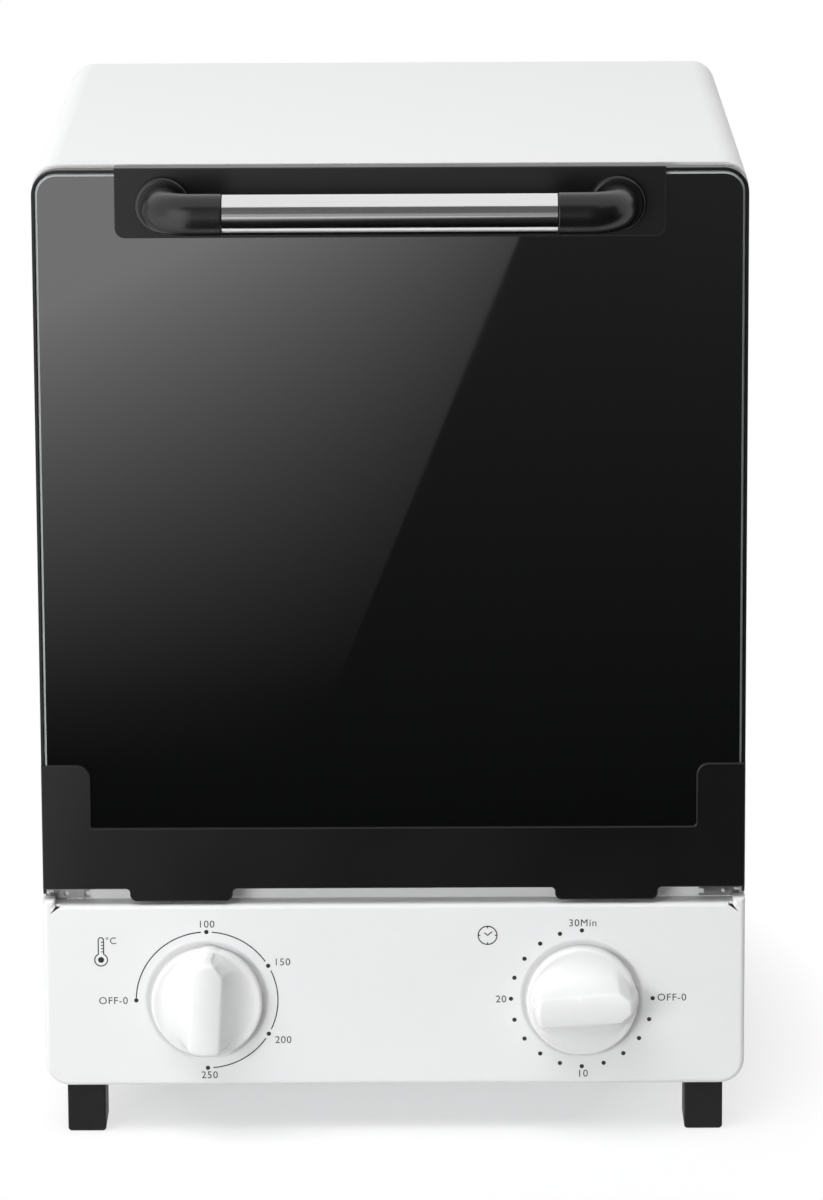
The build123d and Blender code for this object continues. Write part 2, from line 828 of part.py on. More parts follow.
def door_arm():
    """Curved arm riveted to the door: it runs through the frame slot and stops the door."""
    low_radius = arm_radius - arm_width / 2
    high_radius = arm_radius + arm_width / 2
    start = math.degrees(math.asin((frame_back - hinge_y) / arm_radius))
    outline = arm_sector(low_radius, high_radius, start, arm_tail_angle)
    outline += arm_sector(low_radius, high_radius + arm_lug_rise, arm_lug_angle, arm_tail_angle)
    angle = math.radians(spring_hook_angle)
    hook = (hinge_y + arm_radius * math.sin(angle), hinge_z + arm_radius * math.cos(angle))
    outline -= Pos(*hook) * Circle(spring_hook_hole)
    arm = side_sheet(outline, arm_plane, arm_plane + arm_thickness)
    cut_high = hinge_z + 2 * arm_radius
    arm -= block(arm_plane - cut_margin, half_width, panel_face, frame_back, hinge_z, cut_high)
    foot_z = hinge_z + arm_radius
    inner = arm_plane + arm_thickness - arm_foot[0]
    outer = arm_plane + arm_thickness
    low = foot_z - arm_foot[1] / 2
    high = foot_z + arm_foot[1] / 2
    sole = block(inner, outer, frame_back, frame_back + arm_foot_sheet, low, high)
    return arm + sole


def door_spring(side):
    """Tension spring from the arm's tail down to the tab on the base, hooks at both ends."""
    angle = math.radians(spring_hook_angle)
    y = hinge_y + arm_radius * math.sin(angle)
    top = hinge_z + arm_radius * math.cos(angle)
    x = side * (arm_plane - spring_coil_radius - spring_wire - spring_hook_wire)
    length = spring_coils * spring_wire
    low = (top + spring_anchor_z - length) / 2
    ridges = Line((0, low), (spring_coil_radius, low))
    for index in range(spring_coils):
        start = low + index * spring_wire
        crest = (spring_coil_radius + spring_wire / 2, start + spring_wire / 2)
        ridges += ThreePointArc((spring_coil_radius, start), crest, (spring_coil_radius, start + spring_wire))
    ridges += Polyline((spring_coil_radius, low + length), (0, low + length), (0, low))
    coil = Pos(x, y, 0) * revolve(Plane.XZ * make_face(ridges), Axis.Z)
    coil += rod_z(x, y, spring_anchor_z, low + spring_wire / 2, spring_hook_wire)
    coil += rod_z(x, y, low + length - spring_wire / 2, top, spring_hook_wire)
    reach = side * (arm_plane + arm_thickness + spring_hook_end)
    start = x - side * spring_hook_wire
    for z in (top, spring_anchor_z):
        coil += rod_x(min(start, reach), max(start, reach), y, z, spring_hook_wire)
    return coil


# Handle


def handle_plate():
    """Clip folded over the top edge of the door, with round lower corners."""
    face = upright(handle_plate_half, handle_plate_low, door_top + sheet, 0.0, handle_plate_radius)
    plate = slab(face, -door_sheet, 0)
    front = plate.faces().sort_by(Axis.Y)[0]
    plate = chamfer(front.edges(), edge_chamfer)
    half = handle_plate_half
    plate += block(-half, half, -door_sheet / 2, leg_back, door_top, door_top + sheet)
    back_low = door_top + sheet - handle_plate_back
    plate += block(-half, half, frame_back, leg_back, back_low, door_top + sheet)
    for x in (-handle_post_x, handle_post_x):
        hole_start = -door_sheet - cut_margin
        plate -= rod_y(x, hole_start, leg_back + cut_margin, handle_z, handle_screw_radius + screw_clearance)
    return plate


def handle_elbow():
    """Moulded right-hand elbow: flange on the plate, bend and spigot into the tube."""
    post = (handle_post_x, -door_sheet, handle_z)
    corner = (handle_post_x, -handle_reach, handle_z)
    end = (handle_bar_half + handle_joint_gap, -handle_reach, handle_z)
    path = FilletPolyline(post, corner, end, radius=handle_bend)
    elbow = sweep(Plane(origin=path @ 0, z_dir=path % 0) * Circle(handle_elbow_radius), path=path)
    elbow = fillet(elbow.edges().filter_by(GeomType.CIRCLE).sort_by(Axis.X)[0], handle_joint_radius)
    flange = rod_y(handle_post_x, -door_sheet - handle_flange, -door_sheet, handle_z, handle_flange_radius)
    flange = fillet(flange.edges().filter_by(GeomType.CIRCLE).sort_by(Axis.Y)[0], handle_flange_edge)
    elbow += flange
    spigot_radius = handle_radius - handle_tube_wall - running_fit
    spigot_start = handle_bar_half - handle_spigot
    elbow += rod_x(spigot_start, end[0] + cut_margin, -handle_reach, handle_z, spigot_radius)
    return elbow - rod_y(handle_post_x, -handle_screw_depth, 0, handle_z, handle_screw_radius)


def handle_bar():
    """Polished steel tube between the elbows."""
    tube = rod_x(-handle_bar_half, handle_bar_half, -handle_reach, handle_z, handle_radius)
    bore_end = handle_bar_half + cut_margin
    return tube - rod_x(-bore_end, bore_end, -handle_reach, handle_z, handle_radius - handle_tube_wall)


def handle_screws():
    """Two flat-head screws from behind the door into the elbows."""
    screw = rod_y(handle_post_x, -handle_screw_depth, leg_back, handle_z, handle_screw_radius)
    head_end = leg_back + handle_screw_head
    return both_sides(screw + rod_y(handle_post_x, leg_back, head_end, handle_z, handle_screw_head_radius))


# Dials


def dial_plane(x):
    """Plane of a dial: origin where the shaft leaves the well, normal towards the user."""
    return Plane(origin=(x, panel_face + well_depth, dial_height), x_dir=(1, 0, 0), z_dir=(0, -1, 0))


def grip_section(low):
    """Cross-section of the finger grip: crowned top, and hollow flanks that run out into the disc."""
    half = grip_width / 2
    shoulder = knob_height - grip_crown
    steep = (half + grip_flank_pull / 4, low + grip_flank_pull / 2)
    flat = (half + grip_flank_pull, low)
    right = Bezier((half, shoulder), steep, flat, (grip_flank_foot, low))
    crown = ThreePointArc((half, shoulder), (0, knob_height), (-half, shoulder))
    left = Bezier((-half, shoulder), (-steep[0], steep[1]), (-flat[0], low), (-grip_flank_foot, low))
    return make_face(right + crown + left + Line((-grip_flank_foot, low), (grip_flank_foot, low)))


def grip_plan():
    """Plan of the grip at the disc: a pointer nose at the rim, wide shoulders and a tail."""
    side = knob_radius - nose_width
    nose_y = knob_radius + nose_reach
    shoulder_y = nose_y - (side - nose_width / 2) / math.tan(math.radians(nose_angle))
    tail_y = -knob_radius - grip_tail_reach
    right = [(grip_tail_half, tail_y), (side, shoulder_y), (nose_width / 2, nose_y)]
    left = [(-x, y) for x, y in reversed(right)]
    return make_face(Polyline(*right, *left, close=True))


def grip_tail():
    """What is trimmed off the grip's upper tail so that its two corners are round."""
    spread = grip_corner_height * math.tan(math.radians(grip_corner_draft))
    half = grip_width / 2 + spread
    tail = knob_radius - grip_end_inset + spread
    low = knob_height - grip_corner_height
    bar = Plane.XY.offset(low) * RectangleRounded(2 * half, 2 * tail, grip_corner_radius)
    kept = extrude(bar, grip_corner_height, taper=grip_corner_draft)
    start = Pos(0, grip_corner_radius - tail, low)
    return start * Box(2 * half, 2 * grip_corner_radius, 2 * grip_corner_height, align=tail_side) - kept


def grip():
    """Finger grip: section along the pointer, trimmed by its drafted plan and by a rounded end."""
    low = knob_skirt - grip_sink
    height = knob_height - low
    bar = extrude(Plane.XZ * grip_section(low), 2 * knob_radius, both=True)
    end = Pos(0, 0, low) * Cylinder(knob_radius - grip_end_inset, height, align=upwards)
    end = fillet(end.edges().group_by(Axis.Z)[-1], grip_end_radius)
    rim_radius = knob_radius - knob_draft - grip_rim_inset
    front = Pos(0, knob_radius, low) * Box(2 * knob_radius, 2 * knob_radius, height, align=upwards)
    end += front & Pos(0, 0, low) * Cylinder(rim_radius, height, align=upwards)
    end += Pos(0, knob_radius, low) * Box(4 * nose_width, 2 * knob_radius, height, align=upwards)
    bar = bar & end & extrude(Plane.XY.offset(low) * grip_plan(), height, taper=grip_draft)
    return bar - grip_tail()


def knob(turn):
    """Dial knob about its own axis: disc, finger grip, hollow back and a D bore."""
    skirt = make_face(
        Polyline(
            (0, knob_lift),
            (knob_radius, knob_lift),
            (knob_radius - knob_draft, knob_skirt),
            (0, knob_skirt),
            close=True,
        )
    )
    disc = revolve(Plane.XZ * skirt, Axis.Z)
    disc = fillet(disc.edges().filter_by(GeomType.CIRCLE).group_by(Axis.Z)[-1], knob_rim_radius)
    body = disc + grip()
    ceiling = knob_skirt - knob_wall
    hollow = Pos(0, 0, knob_lift) * Cylinder(knob_radius - knob_wall, ceiling - knob_lift, align=upwards)
    body -= hollow - Cylinder(knob_hub_radius, 2 * knob_height)
    return Rot(0, 0, turn) * (body - shaft_end(0, shaft_engagement))


def shaft_end(low, high):
    """D-shaped end of a dial shaft about the dial's own axis."""
    end = Pos(0, 0, low) * Cylinder(shaft_radius, high - low, align=upwards)
    flat = Pos(2 * shaft_radius - shaft_flat, 0, (low + high) / 2) * Box(
        2 * shaft_radius, 2 * shaft_radius, high - low + cut_margin
    )
    return end - flat


def dial_shaft(x, turn):
    """Steel shaft: D end in the knob, round end in the control behind the panel."""
    round_end = Pos(0, 0, -shaft_inner_length) * Cylinder(
        shaft_radius, shaft_inner_length - shaft_step, align=upwards
    )
    end_gap = shaft_engagement - knob_lift
    return dial_plane(x) * Rot(0, 0, turn) * (shaft_end(-shaft_step, end_gap) + round_end)


def control_back():
    """Depth of the face that the controls are screwed to."""
    return panel_face + well_depth + sheet


def control_plate_block(x, wide):
    """Mounting plate of a control, against the back of its well."""
    start = control_back()
    half_height = control_plate_height / 2
    low = dial_height - half_height
    return block(x - wide / 2, x + wide / 2, start, start + control_plate, low, dial_height + half_height)


def blades(x, spread, start):
    """Pair of spade terminals at the rear of a control."""
    thick, long, tall = blade_size
    pair = []
    for side in (-1, 1):
        centre = x + side * spread
        low = dial_height - tall / 2
        pair.append(block(centre - thick / 2, centre + thick / 2, start, start + long, low, low + tall))
    return pair


def control_bores(x, depth):
    """Running bore for a dial shaft and the holes for the two screws of its control."""
    bores = [rod_y(x, 0, depth, dial_height, shaft_radius + running_fit)]
    for z in dial_screw_heights():
        bores.append(rod_y(x, 0, control_back() + dial_screw_length + cut_margin, z, dial_screw_radius))
    return bores


def thermostat_body():
    """Thermostat: mounting plate, block and two spade terminals."""
    start = control_back()
    wide, deep = thermostat_size
    x = -dial_x
    half_wide = thermostat_core[0] / 2
    half_tall = thermostat_core[1] / 2
    core = block(
        x - half_wide,
        x + half_wide,
        start + control_plate,
        start + deep,
        dial_height - half_tall,
        dial_height + half_tall,
    )
    body = control_plate_block(x, wide) + fillet(core.edges().filter_by(Axis.Y), thermostat_core_radius)
    body += blades(x, blade_spread, start + deep - blade_root)
    return body - control_bores(x, deep + control_plate)


def timer_body():
    """Clockwork timer: mounting plate, drum, rear boss for the bell and two terminals."""
    start = control_back()
    x = dial_x
    end = start + timer_depth
    drum = rod_y(x, start + control_plate, end, dial_height, timer_radius)
    drum = fillet(drum.edges().filter_by(GeomType.CIRCLE).sort_by(Axis.Y)[-1], timer_edge_radius)
    body = control_plate_block(x, timer_plate_width) + drum
    body += rod_y(x, end - bell_boss_height, end + bell_boss_height, dial_height, bell_boss_radius)
    body += blades(x, timer_blade_spread, end - blade_root)
    return body - control_bores(x, thermostat_size[1] + control_plate)


def timer_bell():
    """Bell cup of the timer with its centre screw, on the drum's rear boss."""
    start = control_back() + timer_depth + bell_boss_height
    end = start + bell_depth
    outer = ThreePointArc((0, start), (bell_radius * bell_swell, start + bell_depth / 2), (bell_radius, end))
    rim = Line((bell_radius, end), (bell_radius - bell_wall, end))
    middle = (bell_radius * bell_swell - bell_wall / 2, start + bell_wall + bell_depth / 2)
    inner = ThreePointArc((bell_radius - bell_wall, end), middle, (0, start + bell_wall))
    cup = make_face(outer + rim + inner + Line((0, start + bell_wall), (0, start)))
    bell = Pos(dial_x, 0, dial_height) * revolve(Plane.XY * cup, Axis.Y)
    screw_length, screw_radius = bell_screw
    return bell + rod_y(dial_x, start, start + screw_length, dial_height, screw_radius)


def dial_screws():
    """Two screws for each control, under the knobs."""
    face = panel_face + well_depth
    screws = []
    for x in (-dial_x, dial_x):
        for z in dial_screw_heights():
            screw = rod_y(x, face, control_back() + dial_screw_length, z, dial_screw_radius)
            screws.append(screw + rod_y(x, face - screw_head_height, face, z, screw_head_radius))
    return screws


# Electrics at the rear


def cord_gland():
    """Moulded bush that lines the cord hole of the rear cover."""
    back = body_rear + sheet
    bush = rod_y(gland_x, body_rear - gland_inside, back, gland_z, gland_body)
    rim = rod_y(gland_x, back, back + gland_rim, gland_z, gland_flange)
    rim = fillet(rim.edges().filter_by(GeomType.CIRCLE).sort_by(Axis.Y)[-1], gland_rim_radius)
    bore_start = body_rear - gland_inside - cut_margin
    return bush + rim - rod_y(gland_x, bore_start, back + gland_rim + cut_margin, gland_z, gland_bore)


def terminal_block():
    """Three-way ceramic terminal block on the base, ahead of the gland."""
    wide, deep, tall = block_size
    low = foot_height + 2 * sheet
    front = body_rear - block_setback
    body = block(gland_x - wide / 2, gland_x + wide / 2, front, front + deep, low, low + tall)
    body = chamfer(body.edges().group_by(Axis.Z)[-1], block_edge)
    for index in (-1, 0, 1):
        x = gland_x + index * block_pitch
        body -= rod_y(x, front - cut_margin, front + deep + cut_margin, low + tall / 2, block_bore)
        well, depth = block_well
        body -= rod_z(x, front + deep / 2, low + tall - depth, low + tall + cut_margin, well)
    return body


def as_solids(piece):
    """List of the separate solids of a piece or of a group of pieces."""
    if isinstance(piece, (list, tuple)):
        return [solid for one in piece for solid in as_solids(one)]
    return list(piece.solids())


def pieces():
    """Every node with its solids, still in the door glass datum."""
    right_elbow = handle_elbow()
    right_bracket = hinge_bracket()
    right_arm = door_arm()
    nodes = {
        "outer_wrapper": outer_wrapper(),
        "front_frame": front_frame(),
        "control_panel": control_panel(),
        "back_panel": back_panel(),
        "back_panel_screws": back_panel_screws(),
        "bottom_plate": bottom_plate(),
        "foot_screws": foot_screws(),
        "chamber_liner": chamber_liner(),
        "heater_ceramics": heater_ceramics(),
        "wire_rack": wire_rack(),
        "instrument_tray": instrument_tray(),
        "door_frame": door_frame(),
        "door_glass": door_glass(),
        "door_bottom_rail": door_bottom_rail(),
        "right_hinge_bracket": right_bracket,
        "left_hinge_bracket": other_side(right_bracket),
        "hinge_pins": hinge_pins(),
        "right_door_arm": right_arm,
        "left_door_arm": other_side(right_arm),
        "right_door_spring": door_spring(1),
        "left_door_spring": door_spring(-1),
        "handle_plate": handle_plate(),
        "right_handle_elbow": right_elbow,
        "left_handle_elbow": other_side(right_elbow),
        "handle_bar": handle_bar(),
        "handle_screws": handle_screws(),
        "temperature_knob": dial_plane(-dial_x) * knob(temperature_rest_turn),
        "timer_knob": dial_plane(dial_x) * knob(timer_rest_turn),
        "thermostat_shaft": dial_shaft(-dial_x, temperature_rest_turn),
        "timer_shaft": dial_shaft(dial_x, timer_rest_turn),
        "thermostat_body": thermostat_body(),
        "timer_body": timer_body(),
        "timer_bell": timer_bell(),
        "dial_screws": dial_screws(),
        "cord_gland": cord_gland(),
        "terminal_block": terminal_block(),
    }
    for (name, (x, y)), (_, screw_y) in zip(foot_places().items(), foot_screw_places()):
        nodes[name] = foot(x, y, screw_y)
    for name, (y, z) in heater_places().items():
        nodes[name] = heater(y, z)
    return nodes


def main():
    os.makedirs("parts", exist_ok=True)
    for name, piece in pieces().items():
        solids = [Pos(0, -middle_y, 0) * solid for solid in as_solids(piece)]
        shape = solids[0] if len(solids) == 1 else Compound(children=solids)
        shape.label = name
        export_step(shape, f"parts/{name}.step")


main()
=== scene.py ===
import json
import math

import bmesh
import bpy
from mathutils import Matrix, Vector


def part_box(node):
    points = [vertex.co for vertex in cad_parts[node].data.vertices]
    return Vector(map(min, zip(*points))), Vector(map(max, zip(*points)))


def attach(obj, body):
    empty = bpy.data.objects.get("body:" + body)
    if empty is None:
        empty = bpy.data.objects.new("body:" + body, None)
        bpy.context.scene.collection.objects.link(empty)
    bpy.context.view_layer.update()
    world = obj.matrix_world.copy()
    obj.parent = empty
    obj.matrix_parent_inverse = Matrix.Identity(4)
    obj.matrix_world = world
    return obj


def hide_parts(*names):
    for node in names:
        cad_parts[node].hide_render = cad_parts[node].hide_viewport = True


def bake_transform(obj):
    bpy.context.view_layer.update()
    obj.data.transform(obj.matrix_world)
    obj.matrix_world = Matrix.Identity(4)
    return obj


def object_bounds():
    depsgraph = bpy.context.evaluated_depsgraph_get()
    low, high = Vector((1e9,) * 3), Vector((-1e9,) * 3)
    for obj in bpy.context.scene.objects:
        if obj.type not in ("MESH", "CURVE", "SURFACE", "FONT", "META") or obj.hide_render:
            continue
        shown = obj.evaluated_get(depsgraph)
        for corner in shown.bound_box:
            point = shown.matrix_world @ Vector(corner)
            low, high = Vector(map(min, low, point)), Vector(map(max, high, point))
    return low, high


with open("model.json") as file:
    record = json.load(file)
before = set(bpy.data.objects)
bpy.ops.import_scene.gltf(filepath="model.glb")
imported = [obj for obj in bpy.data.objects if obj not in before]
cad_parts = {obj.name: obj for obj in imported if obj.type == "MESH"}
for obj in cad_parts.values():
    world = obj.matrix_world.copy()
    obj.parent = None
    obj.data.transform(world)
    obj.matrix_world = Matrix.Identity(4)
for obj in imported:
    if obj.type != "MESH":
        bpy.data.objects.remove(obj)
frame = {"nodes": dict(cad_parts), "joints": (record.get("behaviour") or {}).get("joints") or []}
cad_low, cad_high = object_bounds()


# Cabinet shell: the bent outer wrapper, the face frame round the chamber mouth and the pressed
# control panel. Mild steel sheet, sprayed and baked white powder coat with a faint orange peel.
mm = 0.001
coat_white = (0.86, 0.862, 0.866)
coat_shade = (0.835, 0.84, 0.848)
coat_roughness = (0.36, 0.44)
orange_peel_size = 1.6 * mm
orange_peel_depth = 0.012 * mm
coat_patch_size = 60 * mm
shell_nodes = ("outer_wrapper", "front_frame", "control_panel")


def new_surface(name, roughness=0.4, metallic=0.0):
    """Material with its node tree and its shader."""
    material = bpy.data.materials.new(name)
    material.use_nodes = True
    shader = material.node_tree.nodes["Principled BSDF"]
    shader.inputs["Roughness"].default_value = roughness
    shader.inputs["Metallic"].default_value = metallic
    return material, material.node_tree, shader


def metre_point(tree, stretch=(1, 1, 1)):
    """Place on the piece in metres, squeezed along the axes by stretch."""
    place = tree.nodes.new("ShaderNodeTexCoord")
    mapping = tree.nodes.new("ShaderNodeMapping")
    mapping.inputs["Scale"].default_value = stretch
    tree.links.new(place.outputs["Object"], mapping.inputs["Vector"])
    return mapping.outputs["Vector"]


def cloud(tree, size, stretch=(1, 1, 1), detail=3.0):
    """Noise with blotches about that size across."""
    noise = tree.nodes.new("ShaderNodeTexNoise")
    noise.inputs["Scale"].default_value = 1 / size
    noise.inputs["Detail"].default_value = detail
    tree.links.new(metre_point(tree, stretch), noise.inputs["Vector"])
    return noise.outputs["Fac"]


def spread(tree, value, low, high, start=0.25, end=0.75):
    """The value between start and end, laid out from low to high."""
    ranged = tree.nodes.new("ShaderNodeMapRange")
    tree.links.new(value, ranged.inputs["Value"])
    ranged.inputs["From Min"].default_value = start
    ranged.inputs["From Max"].default_value = end
    ranged.inputs["To Min"].default_value = low
    ranged.inputs["To Max"].default_value = high
    return ranged.outputs["Result"]


def two_colours(tree, value, first, second):
    """First colour where the value is 0, second where it is 1. Each is numbers or a socket."""
    mix = tree.nodes.new("ShaderNodeMix")
    mix.data_type = "RGBA"
    tree.links.new(value, mix.inputs[0])
    for slot, colour in ((6, first), (7, second)):
        if isinstance(colour, tuple):
            mix.inputs[slot].default_value = (*colour, 1)
        else:
            tree.links.new(colour, mix.inputs[slot])
    return mix.outputs[2]


def raise_surface(tree, shader, value, depth):
    """Bump of that depth in metres."""
    bump = tree.nodes.new("ShaderNodeBump")
    bump.inputs["Distance"].default_value = depth
    bump.inputs["Strength"].default_value = 1.0
    tree.links.new(value, bump.inputs["Height"])
    tree.links.new(bump.outputs["Normal"], shader.inputs["Normal"])


def finish_nodes(names, material):
    """Gives CAD nodes their material."""
    for name in names:
        node = frame["nodes"][name]
        node.data.materials.clear()
        node.data.materials.append(material)


powder_coat, tree, shader = new_surface("white_powder_coat")
patches = cloud(tree, coat_patch_size)
peel = cloud(tree, orange_peel_size, detail=1.5)
tree.links.new(two_colours(tree, patches, coat_shade, coat_white), shader.inputs["Base Color"])
tree.links.new(spread(tree, patches, *coat_roughness), shader.inputs["Roughness"])
raise_surface(tree, shader, peel, orange_peel_depth)
finish_nodes(shell_nodes, powder_coat)


# Base plate and back panel: bare galvanised sheet, folded and pierced with vent slots. The zinc
# grows in crystals a few millimetres across, and each one takes the light a little differently.
zinc_light = (0.66, 0.67, 0.68)
zinc_dark = (0.47, 0.48, 0.5)
zinc_roughness = (0.3, 0.48)
crystal_size = 7 * mm
zinc_haze_size = 25 * mm
zinc_haze_depth = 0.02 * mm

galvanised, tree, shader = new_surface("galvanised_sheet", metallic=1.0)
crystals = tree.nodes.new("ShaderNodeTexVoronoi")
crystals.inputs["Scale"].default_value = 1 / crystal_size
tree.links.new(metre_point(tree), crystals.inputs["Vector"])
crystal_tone = tree.nodes.new("ShaderNodeSeparateColor")
tree.links.new(crystals.outputs["Color"], crystal_tone.inputs["Color"])
haze = cloud(tree, zinc_haze_size)
zinc = two_colours(tree, crystal_tone.outputs["Red"], zinc_dark, zinc_light)
tree.links.new(two_colours(tree, haze, zinc, zinc_light), shader.inputs["Base Color"])
tree.links.new(
    spread(tree, crystal_tone.outputs["Green"], *zinc_roughness, 0, 1), shader.inputs["Roughness"]
)
raise_surface(tree, shader, haze, zinc_haze_depth)
finish_nodes(("back_panel", "bottom_plate"), galvanised)


# Chamber liner: a folded box of aluminised steel with pressed runners for the rack and tray.
# The heaters have tinted it straw to brown near the floor and the roof.
liner_clean = (0.7, 0.7, 0.69)
liner_straw = (0.56, 0.49, 0.38)
liner_roughness = (0.28, 0.42)
rolling_line_size = 1.2 * mm
rolling_line_stretch = (1, 0.03, 1)
rolling_line_depth = 0.01 * mm
liner_low, liner_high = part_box("chamber_liner")
tint_height = 40 * mm
tint_strength = 0.8
tint_patch_size = 30 * mm


def reckon(tree, operation, *values):
    """One step of arithmetic. Each value is a number or a socket."""
    step = tree.nodes.new("ShaderNodeMath")
    step.operation = operation
    for slot, value in enumerate(values):
        if isinstance(value, (int, float)):
            step.inputs[slot].default_value = value
        else:
            tree.links.new(value, step.inputs[slot])
    return step.outputs["Value"]


def axes_of(tree):
    """The three coordinates of a place on the piece, in metres."""
    axes = tree.nodes.new("ShaderNodeSeparateXYZ")
    tree.links.new(metre_point(tree), axes.inputs["Vector"])
    return axes.outputs


liner_steel, tree, shader = new_surface("aluminised_liner", metallic=1.0)
grain = cloud(tree, rolling_line_size, stretch=rolling_line_stretch)
height = axes_of(tree)["Z"]
near_floor = spread(tree, height, tint_strength, 0.0, liner_low.z, liner_low.z + tint_height)
near_roof = spread(tree, height, 0.0, tint_strength, liner_high.z - tint_height, liner_high.z)
tint = reckon(tree, "ADD", near_floor, near_roof)
uneven = reckon(tree, "MULTIPLY", tint, cloud(tree, tint_patch_size))
tree.links.new(two_colours(tree, uneven, liner_clean, liner_straw), shader.inputs["Base Color"])
tree.links.new(spread(tree, grain, *liner_roughness), shader.inputs["Roughness"])
raise_surface(tree, shader, grain, rolling_line_depth)
finish_nodes(("chamber_liner",), liner_steel)


# Heaters: four straight sheathed tubes across the chamber, two over and two under the load.
# The steel sheath has gone dark and matt from heat, and each end sits in a ceramic sleeve.
sheath_dark = (0.05, 0.052, 0.05)
sheath_scale = (0.13, 0.12, 0.105)
sheath_metal = 0.7
sheath_roughness = (0.45, 0.7)
scale_mark_size = 5 * mm
scale_mark_depth = 0.03 * mm
ceramic_cream = (0.8, 0.77, 0.7)
ceramic_grey = (0.7, 0.67, 0.61)
ceramic_roughness = 0.62
pore_size = 0.9 * mm
pore_depth = 0.02 * mm
heater_nodes = [n for n in frame["nodes"] if n.endswith("_heater")]

sheath, tree, shader = new_surface("heater_sheath", metallic=sheath_metal)
scale_marks = cloud(tree, scale_mark_size, detail=5)
tree.links.new(two_colours(tree, scale_marks, sheath_dark, sheath_scale), shader.inputs["Base Color"])
tree.links.new(spread(tree, scale_marks, *sheath_roughness), shader.inputs["Roughness"])
raise_surface(tree, shader, scale_marks, scale_mark_depth)
finish_nodes(heater_nodes, sheath)

ceramic, tree, shader = new_surface("unglazed_ceramic", roughness=ceramic_roughness)
pores = cloud(tree, pore_size)
tree.links.new(two_colours(tree, pores, ceramic_grey, ceramic_cream), shader.inputs["Base Color"])
raise_surface(tree, shader, pores, pore_depth)
finish_nodes(("heater_ceramics", "terminal_block"), ceramic)


# Wire rack and instrument tray: stainless steel, the rack spot-welded from rods and wires, and the
# tray pressed with a flat rim and a pierced floor. Both slide on the liner's runners.
stainless_light = (0.72, 0.72, 0.71)
stainless_dark = (0.58, 0.58, 0.58)
stainless_roughness = (0.18, 0.32)
brush_line_size = 0.7 * mm
brush_line_stretch = (0.04, 1, 1)
brush_line_depth = 0.008 * mm

stainless, tree, shader = new_surface("stainless_steel", metallic=1.0)
brushing = cloud(tree, brush_line_size, stretch=brush_line_stretch)
tree.links.new(two_colours(tree, brushing, stainless_dark, stainless_light), shader.inputs["Base Color"])
tree.links.new(spread(tree, brushing, *stainless_roughness), shader.inputs["Roughness"])
raise_surface(tree, shader, brushing, brush_line_depth)
finish_nodes(("wire_rack", "instrument_tray"), stainless)


# Controls behind the panel: a brown phenolic thermostat, a clockwork timer in the same moulding,
# its pressed bell and the steel shafts that carry the knobs. Shafts, bell and screws are zinc
# plated, and so are the hinge brackets, their pins and the door's arms.
phenolic_brown = (0.11, 0.07, 0.045)
phenolic_dark = (0.06, 0.04, 0.03)
phenolic_roughness = (0.38, 0.52)
flour_size = 1.5 * mm
flour_depth = 0.01 * mm
plated_light = (0.6, 0.6, 0.6)
plated_dark = (0.44, 0.44, 0.45)
plated_roughness = (0.25, 0.4)
plating_size = 2.5 * mm
plating_depth = 0.01 * mm
plated_nodes = (
    "thermostat_shaft", "timer_shaft", "timer_bell", "dial_screws", "hinge_pins",
    "left_hinge_bracket", "right_hinge_bracket", "left_door_arm", "right_door_arm", "handle_screws",
)

phenolic, tree, shader = new_surface("phenolic_moulding")
flour = cloud(tree, flour_size, detail=5)
tree.links.new(two_colours(tree, flour, phenolic_dark, phenolic_brown), shader.inputs["Base Color"])
tree.links.new(spread(tree, flour, *phenolic_roughness), shader.inputs["Roughness"])
raise_surface(tree, shader, flour, flour_depth)
finish_nodes(("thermostat_body", "timer_body"), phenolic)

zinc_plate, tree, shader = new_surface("zinc_plate", metallic=1.0)
plating = cloud(tree, plating_size, detail=4)
tree.links.new(two_colours(tree, plating, plated_dark, plated_light), shader.inputs["Base Color"])
tree.links.new(spread(tree, plating, *plated_roughness), shader.inputs["Roughness"])
raise_surface(tree, shader, plating, plating_depth)
finish_nodes(plated_nodes, zinc_plate)


# Door springs: two close-wound tension springs of music wire, between the base of the cabinet and
# the tails of the door's curved arms. On the oven each stretches as the door drops; here each coil is
# drawn once and does not stretch.
spring_wire = 1.6 * mm
spring_turns = 12
points_per_turn = 14
wire_sides = 8
coil_slack = 1.05
hook_share = 0.25

